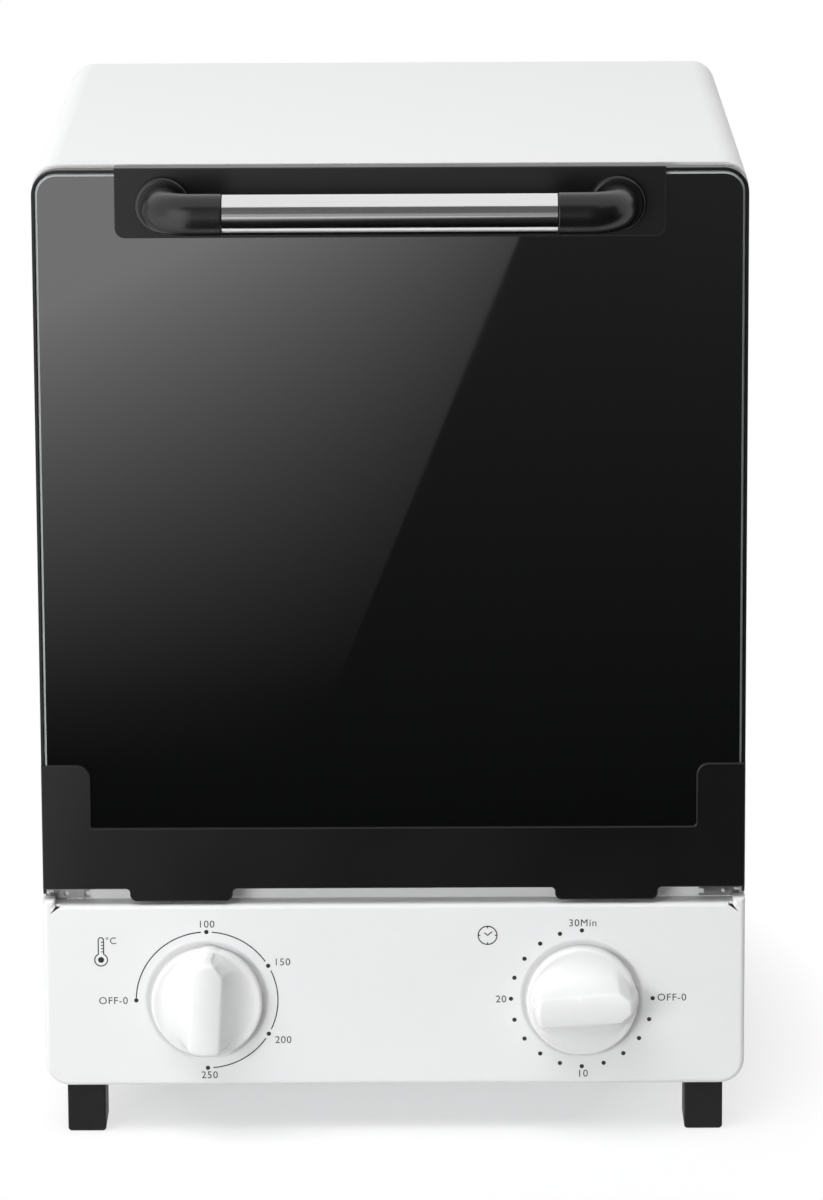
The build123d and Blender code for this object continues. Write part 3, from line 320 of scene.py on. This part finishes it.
for side in ("left", "right"):
    low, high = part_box(f"{side}_door_spring")
    middle = (low + high) / 2
    coil_radius = (high.x - low.x) / 2 - spring_wire / 2
    coil_height = spring_turns * spring_wire * coil_slack
    coil_low = middle.z - coil_height / 2
    wire = bpy.data.curves.new(f"{side}_spring_wire", "CURVE")
    wire.dimensions = "3D"
    wire.bevel_depth = spring_wire / 2
    wire.bevel_resolution = wire_sides // 4
    run = wire.splines.new("POLY")
    turn_points = spring_turns * points_per_turn
    path = [Vector((middle.x, middle.y, low.z + spring_wire / 2))]
    for step in range(turn_points + 1):
        angle = math.tau * step / points_per_turn
        from_end = min(step, turn_points - step) / points_per_turn
        width = coil_radius * min(1.0, hook_share + from_end)
        path.append(Vector((
            middle.x + width * math.sin(angle),
            middle.y + width * math.cos(angle),
            coil_low + coil_height * step / turn_points,
        )))
    path.append(Vector((middle.x, middle.y, high.z - spring_wire / 2)))
    run.points.add(len(path) - 1)
    for point, place in zip(run.points, path):
        point.co = (*place, 1)
    drawn = bpy.data.objects.new(f"{side}_spring_line", wire)
    bpy.context.scene.collection.objects.link(drawn)
    bpy.context.view_layer.update()
    evaluated = drawn.evaluated_get(bpy.context.evaluated_depsgraph_get())
    solid = bpy.data.meshes.new_from_object(evaluated)
    bpy.data.objects.remove(drawn)
    spring = bpy.data.objects.new(f"{side}_wound_spring", solid)
    bpy.context.scene.collection.objects.link(spring)
    solid.materials.append(zinc_plate)
    for face in solid.polygons:
        face.use_smooth = True
    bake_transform(spring)
    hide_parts(f"{side}_door_spring")


# Door metalwork: the back frame with its folded rim, the bottom rail with its raised ends and two
# tabs, and the clip plate of the handle. Pressed steel in satin black stoving enamel.
enamel_black = (0.0018, 0.0018, 0.0019)
enamel_bloom = (0.003, 0.003, 0.0032)
enamel_roughness = (0.31, 0.37)
enamel_bloom_size = 35 * mm
enamel_peel_size = 1.2 * mm
enamel_peel_depth = 0.006 * mm

black_enamel, tree, shader = new_surface("black_enamel")
bloom = cloud(tree, enamel_bloom_size)
tree.links.new(two_colours(tree, bloom, enamel_black, enamel_bloom), shader.inputs["Base Color"])
tree.links.new(spread(tree, bloom, *enamel_roughness), shader.inputs["Roughness"])
raise_surface(tree, shader, cloud(tree, enamel_peel_size, detail=1.5), enamel_peel_depth)
finish_nodes(("door_frame", "door_bottom_rail", "handle_plate"), black_enamel)


# Door pane: 4 mm toughened glass, coated dark on its back. Its edge faces carry a light grey colour as
# a painted highlight along the edge, and the polished face carries only the faintest wipe marks.
pane_dark = (0.0022, 0.0024, 0.0026)
pane_edge_highlight = (0.5, 0.53, 0.54)
pane_roughness = (0.008, 0.03)
pane_gloss = 2.6
edge_tilt = 0.9
edge_fade = 0.05
wipe_size = 45 * mm
wipe_stretch = (1, 1, 0.4)

dark_glass, tree, shader = new_surface("dark_coated_glass")
shader.inputs["IOR"].default_value = pane_gloss
facing = tree.nodes.new("ShaderNodeTexCoord")
facing_axes = tree.nodes.new("ShaderNodeSeparateXYZ")
tree.links.new(facing.outputs["Normal"], facing_axes.inputs["Vector"])
flatness = reckon(tree, "ABSOLUTE", facing_axes.outputs["Y"])
edge_highlight_mask = spread(tree, flatness, 1.0, 0.0, edge_tilt, edge_tilt + edge_fade)
wipes = cloud(tree, wipe_size, stretch=wipe_stretch, detail=6)
# Faces that turn away from the front get a light grey base colour: a painted highlight along the pane's
# edge.
tree.links.new(two_colours(tree, edge_highlight_mask, pane_dark, pane_edge_highlight), shader.inputs["Base Color"])
tree.links.new(spread(tree, wipes, *pane_roughness), shader.inputs["Roughness"])
finish_nodes(("door_glass",), dark_glass)


# Handle: a polished steel tube between two black moulded elbows. Each elbow ends in a round flange
# and is held by a screw from behind the door. The cord gland is moulded in the same black plastic.
tube_bright = (0.8, 0.8, 0.8)
tube_soft = (0.72, 0.72, 0.72)
tube_roughness = (0.09, 0.15)
drawing_line_size = 0.5 * mm
drawing_line_stretch = (0.01, 1, 1)
drawing_line_depth = 0.002 * mm
moulding_black = (0.004, 0.004, 0.0042)
moulding_grey = (0.008, 0.008, 0.0084)
moulding_roughness = (0.24, 0.31)
flow_mark_size = 14 * mm
spark_grain_size = 0.6 * mm
spark_grain_depth = 0.008 * mm

polished_tube, tree, shader = new_surface("polished_tube", metallic=1.0)
drawing_lines = cloud(tree, drawing_line_size, stretch=drawing_line_stretch)
tree.links.new(two_colours(tree, drawing_lines, tube_soft, tube_bright), shader.inputs["Base Color"])
tree.links.new(spread(tree, drawing_lines, *tube_roughness), shader.inputs["Roughness"])
raise_surface(tree, shader, drawing_lines, drawing_line_depth)
finish_nodes(("handle_bar",), polished_tube)

black_moulding, tree, shader = new_surface("black_moulding")
spark_grain = cloud(tree, spark_grain_size, detail=2)
flow = cloud(tree, flow_mark_size)
tree.links.new(two_colours(tree, flow, moulding_black, moulding_grey), shader.inputs["Base Color"])
tree.links.new(spread(tree, flow, *moulding_roughness), shader.inputs["Roughness"])
raise_surface(tree, shader, spark_grain, spark_grain_depth)
finish_nodes(("left_handle_elbow", "right_handle_elbow", "cord_gland"), black_moulding)


# Feet: four moulded black rubber feet under the corners, matt and a little dusty. A screw holds
# each one from below, with its head sunk in the foot.
rubber_black = (0.006, 0.006, 0.0062)
rubber_dust = (0.016, 0.0155, 0.015)
rubber_sheen = 0.2
rubber_roughness = (0.42, 0.6)
dust_size = 3 * mm
dust_depth = 0.01 * mm
foot_nodes = [n for n in frame["nodes"] if n.endswith("_foot")]

rubber, tree, shader = new_surface("black_rubber")
shader.inputs["Specular IOR Level"].default_value = rubber_sheen
dust = cloud(tree, dust_size, detail=6)
tree.links.new(two_colours(tree, dust, rubber_black, rubber_dust), shader.inputs["Base Color"])
tree.links.new(spread(tree, dust, *rubber_roughness), shader.inputs["Roughness"])
raise_surface(tree, shader, dust, dust_depth)
finish_nodes(foot_nodes, rubber)


# Knobs: glossy white mouldings on a round skirt, with a tapered grip that points at the scale.
# Each is moulded in one piece, with soft flanks, and pushed onto the flat of its shaft.
knob_white = (0.87, 0.87, 0.87)
knob_shade = (0.84, 0.845, 0.85)
knob_roughness = (0.2, 0.28)
sink_mark_size = 9 * mm
sink_mark_depth = 0.02 * mm
skirt_radius = 20 * mm
skirt_high = 6.2 * mm
rim_radius = 1.2 * mm
skirt_back = 0.4 * mm
grip_high = 17.2 * mm
grip_half = 5.5 * mm
grip_dome = 0.9 * mm
grip_softness = 1.1 * mm
scoop_power = 2.3
scoop_reach = 18.6 * mm
scoop_least = 0.3 * mm
tail_end = 18.3 * mm
nose_end = 20.0 * mm
nose_start = 13.5 * mm
nose_half = 0.7 * mm
nose_bump = 0.5 * mm
nose_swing = (0.9, 0.99)
bump_swing = (0.985, 1.0)
end_round = 3.2 * mm
around = 192
across = 44
rim_steps = 5
wall_heights = (skirt_high / 2, skirt_back)
pointer_deg = {"temperature": 3, "timer": 86}
dial_place = {j["name"]: Vector(j["pos_m"]) for j in frame["joints"] if "pos_m" in j}

knob_plastic, tree, shader = new_surface("glossy_white_moulding")
sink_marks = cloud(tree, sink_mark_size)
tree.links.new(two_colours(tree, sink_marks, knob_shade, knob_white), shader.inputs["Base Color"])
tree.links.new(spread(tree, sink_marks, *knob_roughness), shader.inputs["Roughness"])
raise_surface(tree, shader, sink_marks, sink_mark_depth)


def ease(value, low, high):
    """0 below low, 1 above high, with a smooth rise between."""
    share = min(1.0, max(0.0, (value - low) / (high - low)))
    return share * share * (3 - 2 * share)


def knob_height(u, v):
    """Height of the knob's front at u across and v along its pointer."""
    reach = math.hypot(u, v)
    toward_nose = ease(v / reach, *nose_swing) if reach > 0 else 0.0
    narrowing = min(1.0, max(0.0, (v - nose_start) / (nose_end - nose_start)))
    half = grip_half + (nose_half - grip_half) * narrowing
    crown = grip_high - grip_dome * (u / grip_half) ** 2
    room = max(scoop_least, math.sqrt(max(0.0, scoop_reach**2 - v * v)) - half)
    out = min(1.0, (abs(u) - half) / room)
    flank = skirt_high + (grip_high - grip_dome - skirt_high) * (1 - out) ** scoop_power
    rounding = max(grip_softness - abs(crown - flank), 0.0) ** 2 / (4 * grip_softness)
    height = min(crown, flank) - rounding
    end = tail_end + (nose_end - tail_end) * toward_nose
    past = min(1.0, max(0.0, (reach - (end - end_round)) / end_round))
    return skirt_high + max(0.0, height - skirt_high) * math.sqrt(1 - past * past)


for dial_name, pointer in pointer_deg.items():
    centre = dial_place[f"{dial_name}_turn"]
    turn = math.radians(pointer)
    mesh = bmesh.new()
    rings = []
    for level in range(across + rim_steps + len(wall_heights)):
        ring = []
        for step in range(around):
            angle = math.tau * step / around
            bump = nose_bump * ease(math.cos(angle), *bump_swing)
            edge = skirt_radius + bump
            if level < across:
                reach = (level + 1) / across * (edge - rim_radius)
                height = knob_height(reach * math.sin(angle), reach * math.cos(angle))
            elif level < across + rim_steps:
                quarter = math.pi / 2 * (level - across + 1) / rim_steps
                reach = edge - rim_radius + rim_radius * math.sin(quarter)
                height = skirt_high - rim_radius + rim_radius * math.cos(quarter)
            else:
                reach = edge
                height = wall_heights[level - across - rim_steps]
            u = reach * math.sin(angle)
            v = reach * math.cos(angle)
            ring.append(mesh.verts.new((
                centre.x + u * math.cos(turn) + v * math.sin(turn),
                centre.y - height,
                centre.z - u * math.sin(turn) + v * math.cos(turn),
            )))
        rings.append(ring)
    tip = mesh.verts.new((centre.x, centre.y - knob_height(0, 0), centre.z))
    for step in range(around):
        after = (step + 1) % around
        mesh.faces.new((tip, rings[0][step], rings[0][after]))
        for inner, outer in zip(rings, rings[1:]):
            mesh.faces.new((inner[step], outer[step], outer[after], inner[after]))
    mesh.faces.new(rings[-1])
    bmesh.ops.recalc_face_normals(mesh, faces=mesh.faces)
    moulding = bpy.data.meshes.new(f"{dial_name}_grip_knob")
    mesh.to_mesh(moulding)
    mesh.free()
    for face in moulding.polygons:
        face.use_smooth = len(face.vertices) < 5
    moulding.materials.append(knob_plastic)
    knob = bpy.data.objects.new(f"{dial_name}_grip_knob", moulding)
    bpy.context.scene.collection.objects.link(knob)
    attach(knob, f"{dial_name}_dial")
    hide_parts(f"{dial_name}_knob")


# Printed scales: black ink, screen-printed on the panel round both dials. Dots, a thin arc on the
# temperature side, numerals, and two small line drawings of a thermometer and a clock.
ink_black = (0.008, 0.008, 0.009)
ink_thin = (0.02, 0.02, 0.022)
ink_roughness = 0.5
ink_patch_size = 0.8 * mm
ink_patch_depth = 0.003 * mm
panel_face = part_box("control_panel")[0].y
ink_rise = 0.03 * mm
ink_sink = 0.01 * mm
scale_radius = 25.6 * mm
dot_radius = 0.8 * mm
line_width = 0.42 * mm
line_overlap = 0.08
numeral_size = 3.75 * mm
numeral_spacing = 1.12

ink, tree, shader = new_surface("scale_ink", roughness=ink_roughness)
coverage = cloud(tree, ink_patch_size)
tree.links.new(two_colours(tree, coverage, ink_black, ink_thin), shader.inputs["Base Color"])
raise_surface(tree, shader, coverage, ink_patch_depth)


def ink_patch(mesh, ring):
    """Printed patch with a rim, from its outline seen from the front."""
    front = [mesh.verts.new((x, panel_face - ink_rise, z)) for x, z in ring]
    back = [mesh.verts.new((x, panel_face + ink_sink, z)) for x, z in ring]
    mesh.faces.new(front)
    count = len(ring)
    for k in range(count):
        mesh.faces.new((front[k], back[k], back[(k + 1) % count], front[(k + 1) % count]))


def ink_disc(mesh, x, z, radius, sides=20):
    """Printed round dot."""
    angles = [math.tau * k / sides for k in range(sides)]
    ink_patch(mesh, [(x + radius * math.sin(a), z + radius * math.cos(a)) for a in angles])


def ink_line(mesh, path, width):
    """Printed line along a path seen from the front."""
    for (x0, z0), (x1, z1) in zip(path, path[1:]):
        along = Vector((x1 - x0, z1 - z0)).normalized()
        reach = along * width * line_overlap
        across = Vector((-along.y, along.x)) * width / 2
        ink_patch(mesh, [
            (x0 - reach.x + across.x, z0 - reach.y + across.y),
            (x0 - reach.x - across.x, z0 - reach.y - across.y),
            (x1 + reach.x - across.x, z1 + reach.y - across.y),
            (x1 + reach.x + across.x, z1 + reach.y + across.y),
        ])


def arc_points(x, z, radius, start_deg, end_deg, step_deg=4.0):
    """Points along an arc, with angles counted clockwise from straight up."""
    count = max(2, round(abs(end_deg - start_deg) / step_deg) + 1)
    angles = [math.radians(start_deg + (end_deg - start_deg) * k / (count - 1)) for k in range(count)]
    return [(x + radius * math.sin(a), z + radius * math.cos(a)) for a in angles]


def print_mesh(name, mesh):
    """Adds a finished print to the panel."""
    bmesh.ops.recalc_face_normals(mesh, faces=mesh.faces)
    data = bpy.data.meshes.new(name)
    mesh.to_mesh(data)
    mesh.free()
    data.materials.append(ink)
    piece = bpy.data.objects.new(name, data)
    bpy.context.scene.collection.objects.link(piece)
    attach(piece, "cabinet")


def print_words(name, words, x, z, size, side):
    """Adds printed letters to the panel, centred in height on z."""
    letters = bpy.data.curves.new(name, "FONT")
    letters.body = words
    letters.size = size
    letters.align_x = side
    letters.align_y = "CENTER"
    letters.extrude = (ink_rise + ink_sink) / 2
    letters.space_character = numeral_spacing
    letters.materials.append(ink)
    piece = bpy.data.objects.new(name, letters)
    bpy.context.scene.collection.objects.link(piece)
    piece.location = (x, panel_face - (ink_rise - ink_sink) / 2, z)
    piece.rotation_euler = (math.pi / 2, 0, 0)
    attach(piece, "cabinet")


stops = (-90, 0, 60, 120, 180)
arc_gap_deg = 4.5
off_gap_deg = 2.0
temperature_words = (
    ("100", "100", 0, 28.4 * mm, "CENTER"),
    ("150", "150", 27.2 * mm, 14.1 * mm, "CENTER"),
    ("200", "200", 27.4 * mm, -15.2 * mm, "CENTER"),
    ("250", "250", 0.6 * mm, -28.4 * mm, "CENTER"),
    ("off", "OFF-0", -28.6 * mm, -0.2 * mm, "RIGHT"),
)
dial = dial_place["temperature_turn"]
scale = bmesh.new()
for angle in stops:
    ink_disc(scale, *arc_points(dial.x, dial.z, scale_radius, angle, angle)[0], dot_radius)
for start, end in zip(stops, stops[1:]):
    begin = start + (off_gap_deg if start == stops[0] else arc_gap_deg)
    arc = arc_points(dial.x, dial.z, scale_radius, begin, end - arc_gap_deg)
    ink_line(scale, arc, line_width)
print_mesh("temperature_scale", scale)
for mark, words, across, up, side in temperature_words:
    print_words(f"temperature_{mark}", words, dial.x + across, dial.z + up, numeral_size, side)

timer_stops = 16
timer_step_deg = 18
timer_words = (
    ("30", "30Min", 0.3 * mm, 28.3 * mm, "CENTER"),
    ("20", "20", -27.2 * mm, -0.2 * mm, "RIGHT"),
    ("10", "10", 0.3 * mm, -28.4 * mm, "CENTER"),
    ("off", "OFF-0", 27.2 * mm, 0.2 * mm, "LEFT"),
)
dial = dial_place["timer_turn"]
scale = bmesh.new()
for stop in range(timer_stops):
    angle = 90 + stop * timer_step_deg
    ink_disc(scale, *arc_points(dial.x, dial.z, scale_radius, angle, angle)[0], dot_radius)
print_mesh("timer_scale", scale)
for mark, words, across, up, side in timer_words:
    print_words(f"timer_{mark}", words, dial.x + across, dial.z + up, numeral_size, side)

bulb_x, bulb_z = -105.8 * mm, 65.6 * mm
bulb_radius = 1.1 * mm
bulb_wall = 2.3 * mm
bulb_mouth_deg = 25
stem_half = 0.95 * mm
stem_low = bulb_z + 2.1 * mm
stem_high = bulb_z + 7.4 * mm
stem_marks = 4
first_mark = 0.9 * mm
mark_step = 1.2 * mm
mark_width = line_width * 0.8
degree_across = 3.6 * mm
degree_up = 7.0 * mm
degree_size = numeral_size * 0.95
thermometer = bmesh.new()
ink_disc(thermometer, bulb_x, bulb_z, bulb_radius)
bulb_ring = arc_points(bulb_x, bulb_z, bulb_wall, bulb_mouth_deg, 360 - bulb_mouth_deg, 15)
ink_line(thermometer, bulb_ring, line_width)
for x in (bulb_x - stem_half, bulb_x + stem_half):
    ink_line(thermometer, [(x, stem_low), (x, stem_high)], line_width)
ink_line(thermometer, arc_points(bulb_x, stem_high, stem_half, -90, 90, 20), line_width)
for mark in range(stem_marks):
    level = stem_low + first_mark + mark_step * mark
    ink_line(thermometer, [(bulb_x, level), (bulb_x + stem_half, level)], mark_width)
print_mesh("thermometer_sign", thermometer)
print_words("degree_sign", "°C", bulb_x + degree_across, bulb_z + degree_up, degree_size, "CENTER")

clock_middle = (33.7 * mm, 74.2 * mm)
clock_radius = 3.4 * mm
clock_tick = 0.78 * clock_radius
clock_hands = ((0.45 * clock_radius, -50), (0.62 * clock_radius, 50))
clock = bmesh.new()
ink_line(clock, arc_points(*clock_middle, clock_radius, 0, 360, 12), line_width)
for angle in range(0, 360, 90):
    ends = [arc_points(*clock_middle, reach, angle, angle)[0] for reach in (clock_tick, clock_radius)]
    ink_line(clock, ends, line_width)
for length, angle in clock_hands:
    tip = arc_points(*clock_middle, length, angle, angle)[0]
    ink_line(clock, [clock_middle, tip], line_width)
print_mesh("clock_sign", clock)


# Case screws: zinc plated steel, six with round heads that hold the back panel to the wrapper and
# four that go up through the feet into the base.
finish_nodes(("back_panel_screws", "foot_screws"), zinc_plate)


# Studio floor: a pale level sheet under the feet. Its grey fades to white with distance, so that
# it has no far edge. Matt surfaces see it as a plain pale floor.
floor_half = 8.0
floor_pale = (0.56, 0.56, 0.565)
floor_bounce = (0.66, 0.66, 0.66)
floor_lift = 0.46
fade_start = 0.14
fade_end = 0.28
fade_squeeze = 1.6


def level_corners(half, near, far, height):
    """Corners of a level rectangle from near to far that reaches half to either side."""
    return [(-half, near, height), (half, near, height), (half, far, height), (-half, far, height)]


def matt_paint(tree, colour):
    """Plain matt surface."""
    paint = tree.nodes.new("ShaderNodeBsdfDiffuse")
    paint.inputs["Color"].default_value = (*colour, 1)
    return paint.outputs[0]


def lit_white(tree, strength):
    """Plain white light of that strength."""
    light = tree.nodes.new("ShaderNodeEmission")
    light.inputs["Strength"].default_value = strength
    return light.outputs[0]


def either_surface(tree, share, first, second):
    """First surface where the share is 0, second where it is 1."""
    mixed = tree.nodes.new("ShaderNodeMixShader")
    for slot, value in enumerate((share, first, second)):
        tree.links.new(value, mixed.inputs[slot])
    return mixed.outputs[0]


def seen_directly(tree):
    """1 for rays from the camera, from shiny surfaces and through glass."""
    rays = tree.nodes.new("ShaderNodeLightPath").outputs
    shiny = reckon(tree, "MAXIMUM", rays["Is Camera Ray"], rays["Is Glossy Ray"])
    return reckon(tree, "MAXIMUM", shiny, rays["Is Transmission Ray"])


floor_mesh = bpy.data.meshes.new("floor")
floor_mesh.from_pydata(level_corners(floor_half, -floor_half, floor_half, 0), [], [(0, 1, 2, 3)])
floor = bpy.data.objects.new("floor", floor_mesh)
bpy.context.scene.collection.objects.link(floor)
floor_paint = bpy.data.materials.new("pale_floor")
floor_paint.use_nodes = True
tree = floor_paint.node_tree
tree.nodes.clear()
lifted = tree.nodes.new("ShaderNodeAddShader")
tree.links.new(matt_paint(tree, floor_pale), lifted.inputs[0])
tree.links.new(lit_white(tree, floor_lift), lifted.inputs[1])
distance = tree.nodes.new("ShaderNodeVectorMath")
distance.operation = "LENGTH"
tree.links.new(metre_point(tree, stretch=(fade_squeeze, 1, 1)), distance.inputs[0])
far = spread(tree, distance.outputs["Value"], 0.0, 1.0, fade_start, fade_end)
fading = either_surface(tree, far, lifted.outputs[0], lit_white(tree, 1.0))
shown = either_surface(tree, seen_directly(tree), matt_paint(tree, floor_bounce), fading)
out = tree.nodes.new("ShaderNodeOutputMaterial")
tree.links.new(shown, out.inputs["Surface"])
floor_mesh.materials.append(floor_paint)


# Surround: plain white on all sides, as a studio's backdrop. Matt surfaces get less light from it
# than the camera and the shiny surfaces see.
surround_light = 0.29

world = bpy.data.worlds.new("white_surround")
bpy.context.scene.world = world
world.use_nodes = True
tree = world.node_tree
background = tree.nodes["Background"]
background.inputs["Color"].default_value = (1, 1, 1, 1)
strength = spread(tree, seen_directly(tree), surround_light, 1.0, 0, 1)
tree.links.new(strength, background.inputs["Strength"])


# Lamps: a large soft one high up at the front left, and a smaller low one further out on the same
# side. Both face the middle of the cabinet.
lamp_aim = Vector((0, 0, 0.17))
lamp_place = Vector((-0.9, -0.9, 2.6))
lamp_size = 2.1
lamp_power = 58
front_lamp_place = Vector((-1.3, -1.9, 0.42))
front_lamp_size = (1.2, 0.7)
front_lamp_power = 22


def soft_lamp(name, place, width, height, power):
    """Area lamp that faces the cabinet and isn't seen, not even in shiny surfaces."""
    data = bpy.data.lights.new(name, "AREA")
    data.shape = "RECTANGLE"
    data.size = width
    data.size_y = height
    data.energy = power
    lamp = bpy.data.objects.new(name, data)
    bpy.context.scene.collection.objects.link(lamp)
    lamp.location = place
    lamp.rotation_mode = "QUATERNION"
    lamp.rotation_quaternion = (lamp_aim - place).to_track_quat("-Z", "Y")
    lamp.visible_camera = False
    lamp.visible_glossy = False


soft_lamp("key_lamp", lamp_place, lamp_size, lamp_size, lamp_power)
soft_lamp("front_lamp", front_lamp_place, *front_lamp_size, front_lamp_power)


# Floor card in front: near black, with a lit part left of a slanting edge. The light grows away
# from the edge and away from the cabinet, so the pane shows one soft diagonal reflection. A strip
# beside it on the far left is bright.
card_near = cad_low.y - 0.08
card_far = -4.2
card_half = 2.6
card_rise = 0.002
edge_from = 0.716
edge_place = -0.0325
edge_slant = 0.09
dark_light = 0.016
dark_growth = 0.034
step_growth = 0.14
lit_from = 0.6
lit_growth = 2.0
lit_most = 0.75
beside_place = -0.13
beside_slant = -0.08
beside_light = 1.6


def shiny_only_card(name, corners):
    """Card that only shiny surfaces see. Returns its node tree and its light."""
    data = bpy.data.meshes.new(name)
    data.from_pydata(corners, [], [(0, 1, 2, 3)])
    card = bpy.data.objects.new(name, data)
    bpy.context.scene.collection.objects.link(card)
    for seen in ("camera", "diffuse", "transmission", "volume_scatter", "shadow"):
        setattr(card, f"visible_{seen}", False)
    material = bpy.data.materials.new(name)
    material.use_nodes = True
    tree = material.node_tree
    tree.nodes.clear()
    light = tree.nodes.new("ShaderNodeEmission")
    out = tree.nodes.new("ShaderNodeOutputMaterial")
    tree.links.new(light.outputs[0], out.inputs["Surface"])
    data.materials.append(material)
    return tree, light


tree, light = shiny_only_card("floor_card", level_corners(card_half, card_near, card_far, card_rise))
axes = axes_of(tree)
away = reckon(tree, "MULTIPLY", axes["Y"], -1)
past_start = reckon(tree, "SUBTRACT", away, edge_from)
edge_x = reckon(tree, "MULTIPLY_ADD", past_start, edge_slant, edge_place)
left_of = reckon(tree, "SUBTRACT", edge_x, axes["X"])
is_left = reckon(tree, "GREATER_THAN", left_of, 0)
step_light = reckon(tree, "MULTIPLY", reckon(tree, "MAXIMUM", past_start, 0), step_growth)
past_lit = reckon(tree, "MAXIMUM", reckon(tree, "SUBTRACT", away, lit_from), 0)
slope_light = reckon(tree, "MULTIPLY", reckon(tree, "MULTIPLY", past_lit, left_of), lit_growth)
lit = reckon(tree, "MULTIPLY", is_left, reckon(tree, "ADD", step_light, slope_light))
lit = reckon(tree, "MINIMUM", lit, lit_most)
beside_x = reckon(tree, "MULTIPLY_ADD", away, beside_slant, beside_place)
is_beside = reckon(tree, "LESS_THAN", axes["X"], beside_x)
lit = reckon(tree, "MAXIMUM", lit, reckon(tree, "MULTIPLY", is_beside, beside_light))
dark = reckon(tree, "MULTIPLY_ADD", past_start, dark_growth, dark_light)
tree.links.new(reckon(tree, "ADD", lit, dark), light.inputs["Strength"])


# Wall card behind the camera: dim, and brighter in a low band that fades from left to right. The
# handle tube shows the band as its thin bright line.
wall_y = card_far
wall_half = 2.6
wall_high = 5.6
wall_dim = 0.13
band_high = 1.25
band_left = 0.55
band_right = 0.16
band_half = 0.9

tree, light = shiny_only_card(
    "wall_card",
    [(-wall_half, wall_y, 0), (wall_half, wall_y, 0),
     (wall_half, wall_y, wall_high), (-wall_half, wall_y, wall_high)],
)
axes = axes_of(tree)
band = spread(tree, axes["X"], band_left, band_right, -band_half, band_half)
in_band = reckon(tree, "LESS_THAN", axes["Z"], band_high)
strength = reckon(tree, "MULTIPLY", in_band, reckon(tree, "SUBTRACT", band, wall_dim))
tree.links.new(reckon(tree, "ADD", strength, wall_dim), light.inputs["Strength"])


# Side cards: a bright one low on the left and a dark one on the right. They give the black
# enamel its fall from grey on the left to black on the right.
side_card_high = 1.6
side_cards = (
    ("left_card", (-0.36, -2.2), (-1.6, -1.2), 1.9),
    ("right_card", (0.5, -2.6), (1.7, -0.6), 0.03),
)

for name, (x0, y0), (x1, y1), strength in side_cards:
    tree, light = shiny_only_card(
        name, [(x0, y0, 0), (x1, y1, 0), (x1, y1, side_card_high), (x0, y0, side_card_high)]
    )
    light.inputs["Strength"].default_value = strength


# Camera: on a tripod two metres in front, above the top of the cabinet, tilted slightly down and
# fitted with a long lens.
camera_place = Vector((0.0105, -2.1124, 0.6891))
camera_tilt = 0.1989
camera_turn = -0.0024
camera_roll = -0.005
camera_lens = 173.25
camera_shift = (0.0037, -0.2)

camera_data = bpy.data.cameras.new("camera")
camera_data.lens = camera_lens
camera_data.shift_x, camera_data.shift_y = camera_shift
camera = bpy.data.objects.new("camera", camera_data)
bpy.context.scene.collection.objects.link(camera)
camera.matrix_world = (
    Matrix.Translation(camera_place)
    @ Matrix.Rotation(-camera_turn, 4, "Z")
    @ Matrix.Rotation(math.pi / 2 - camera_tilt, 4, "X")
    @ Matrix.Rotation(camera_roll, 4, "Z")
)
bpy.context.scene.camera = camera
bpy.context.scene.view_settings.view_transform = "Standard"
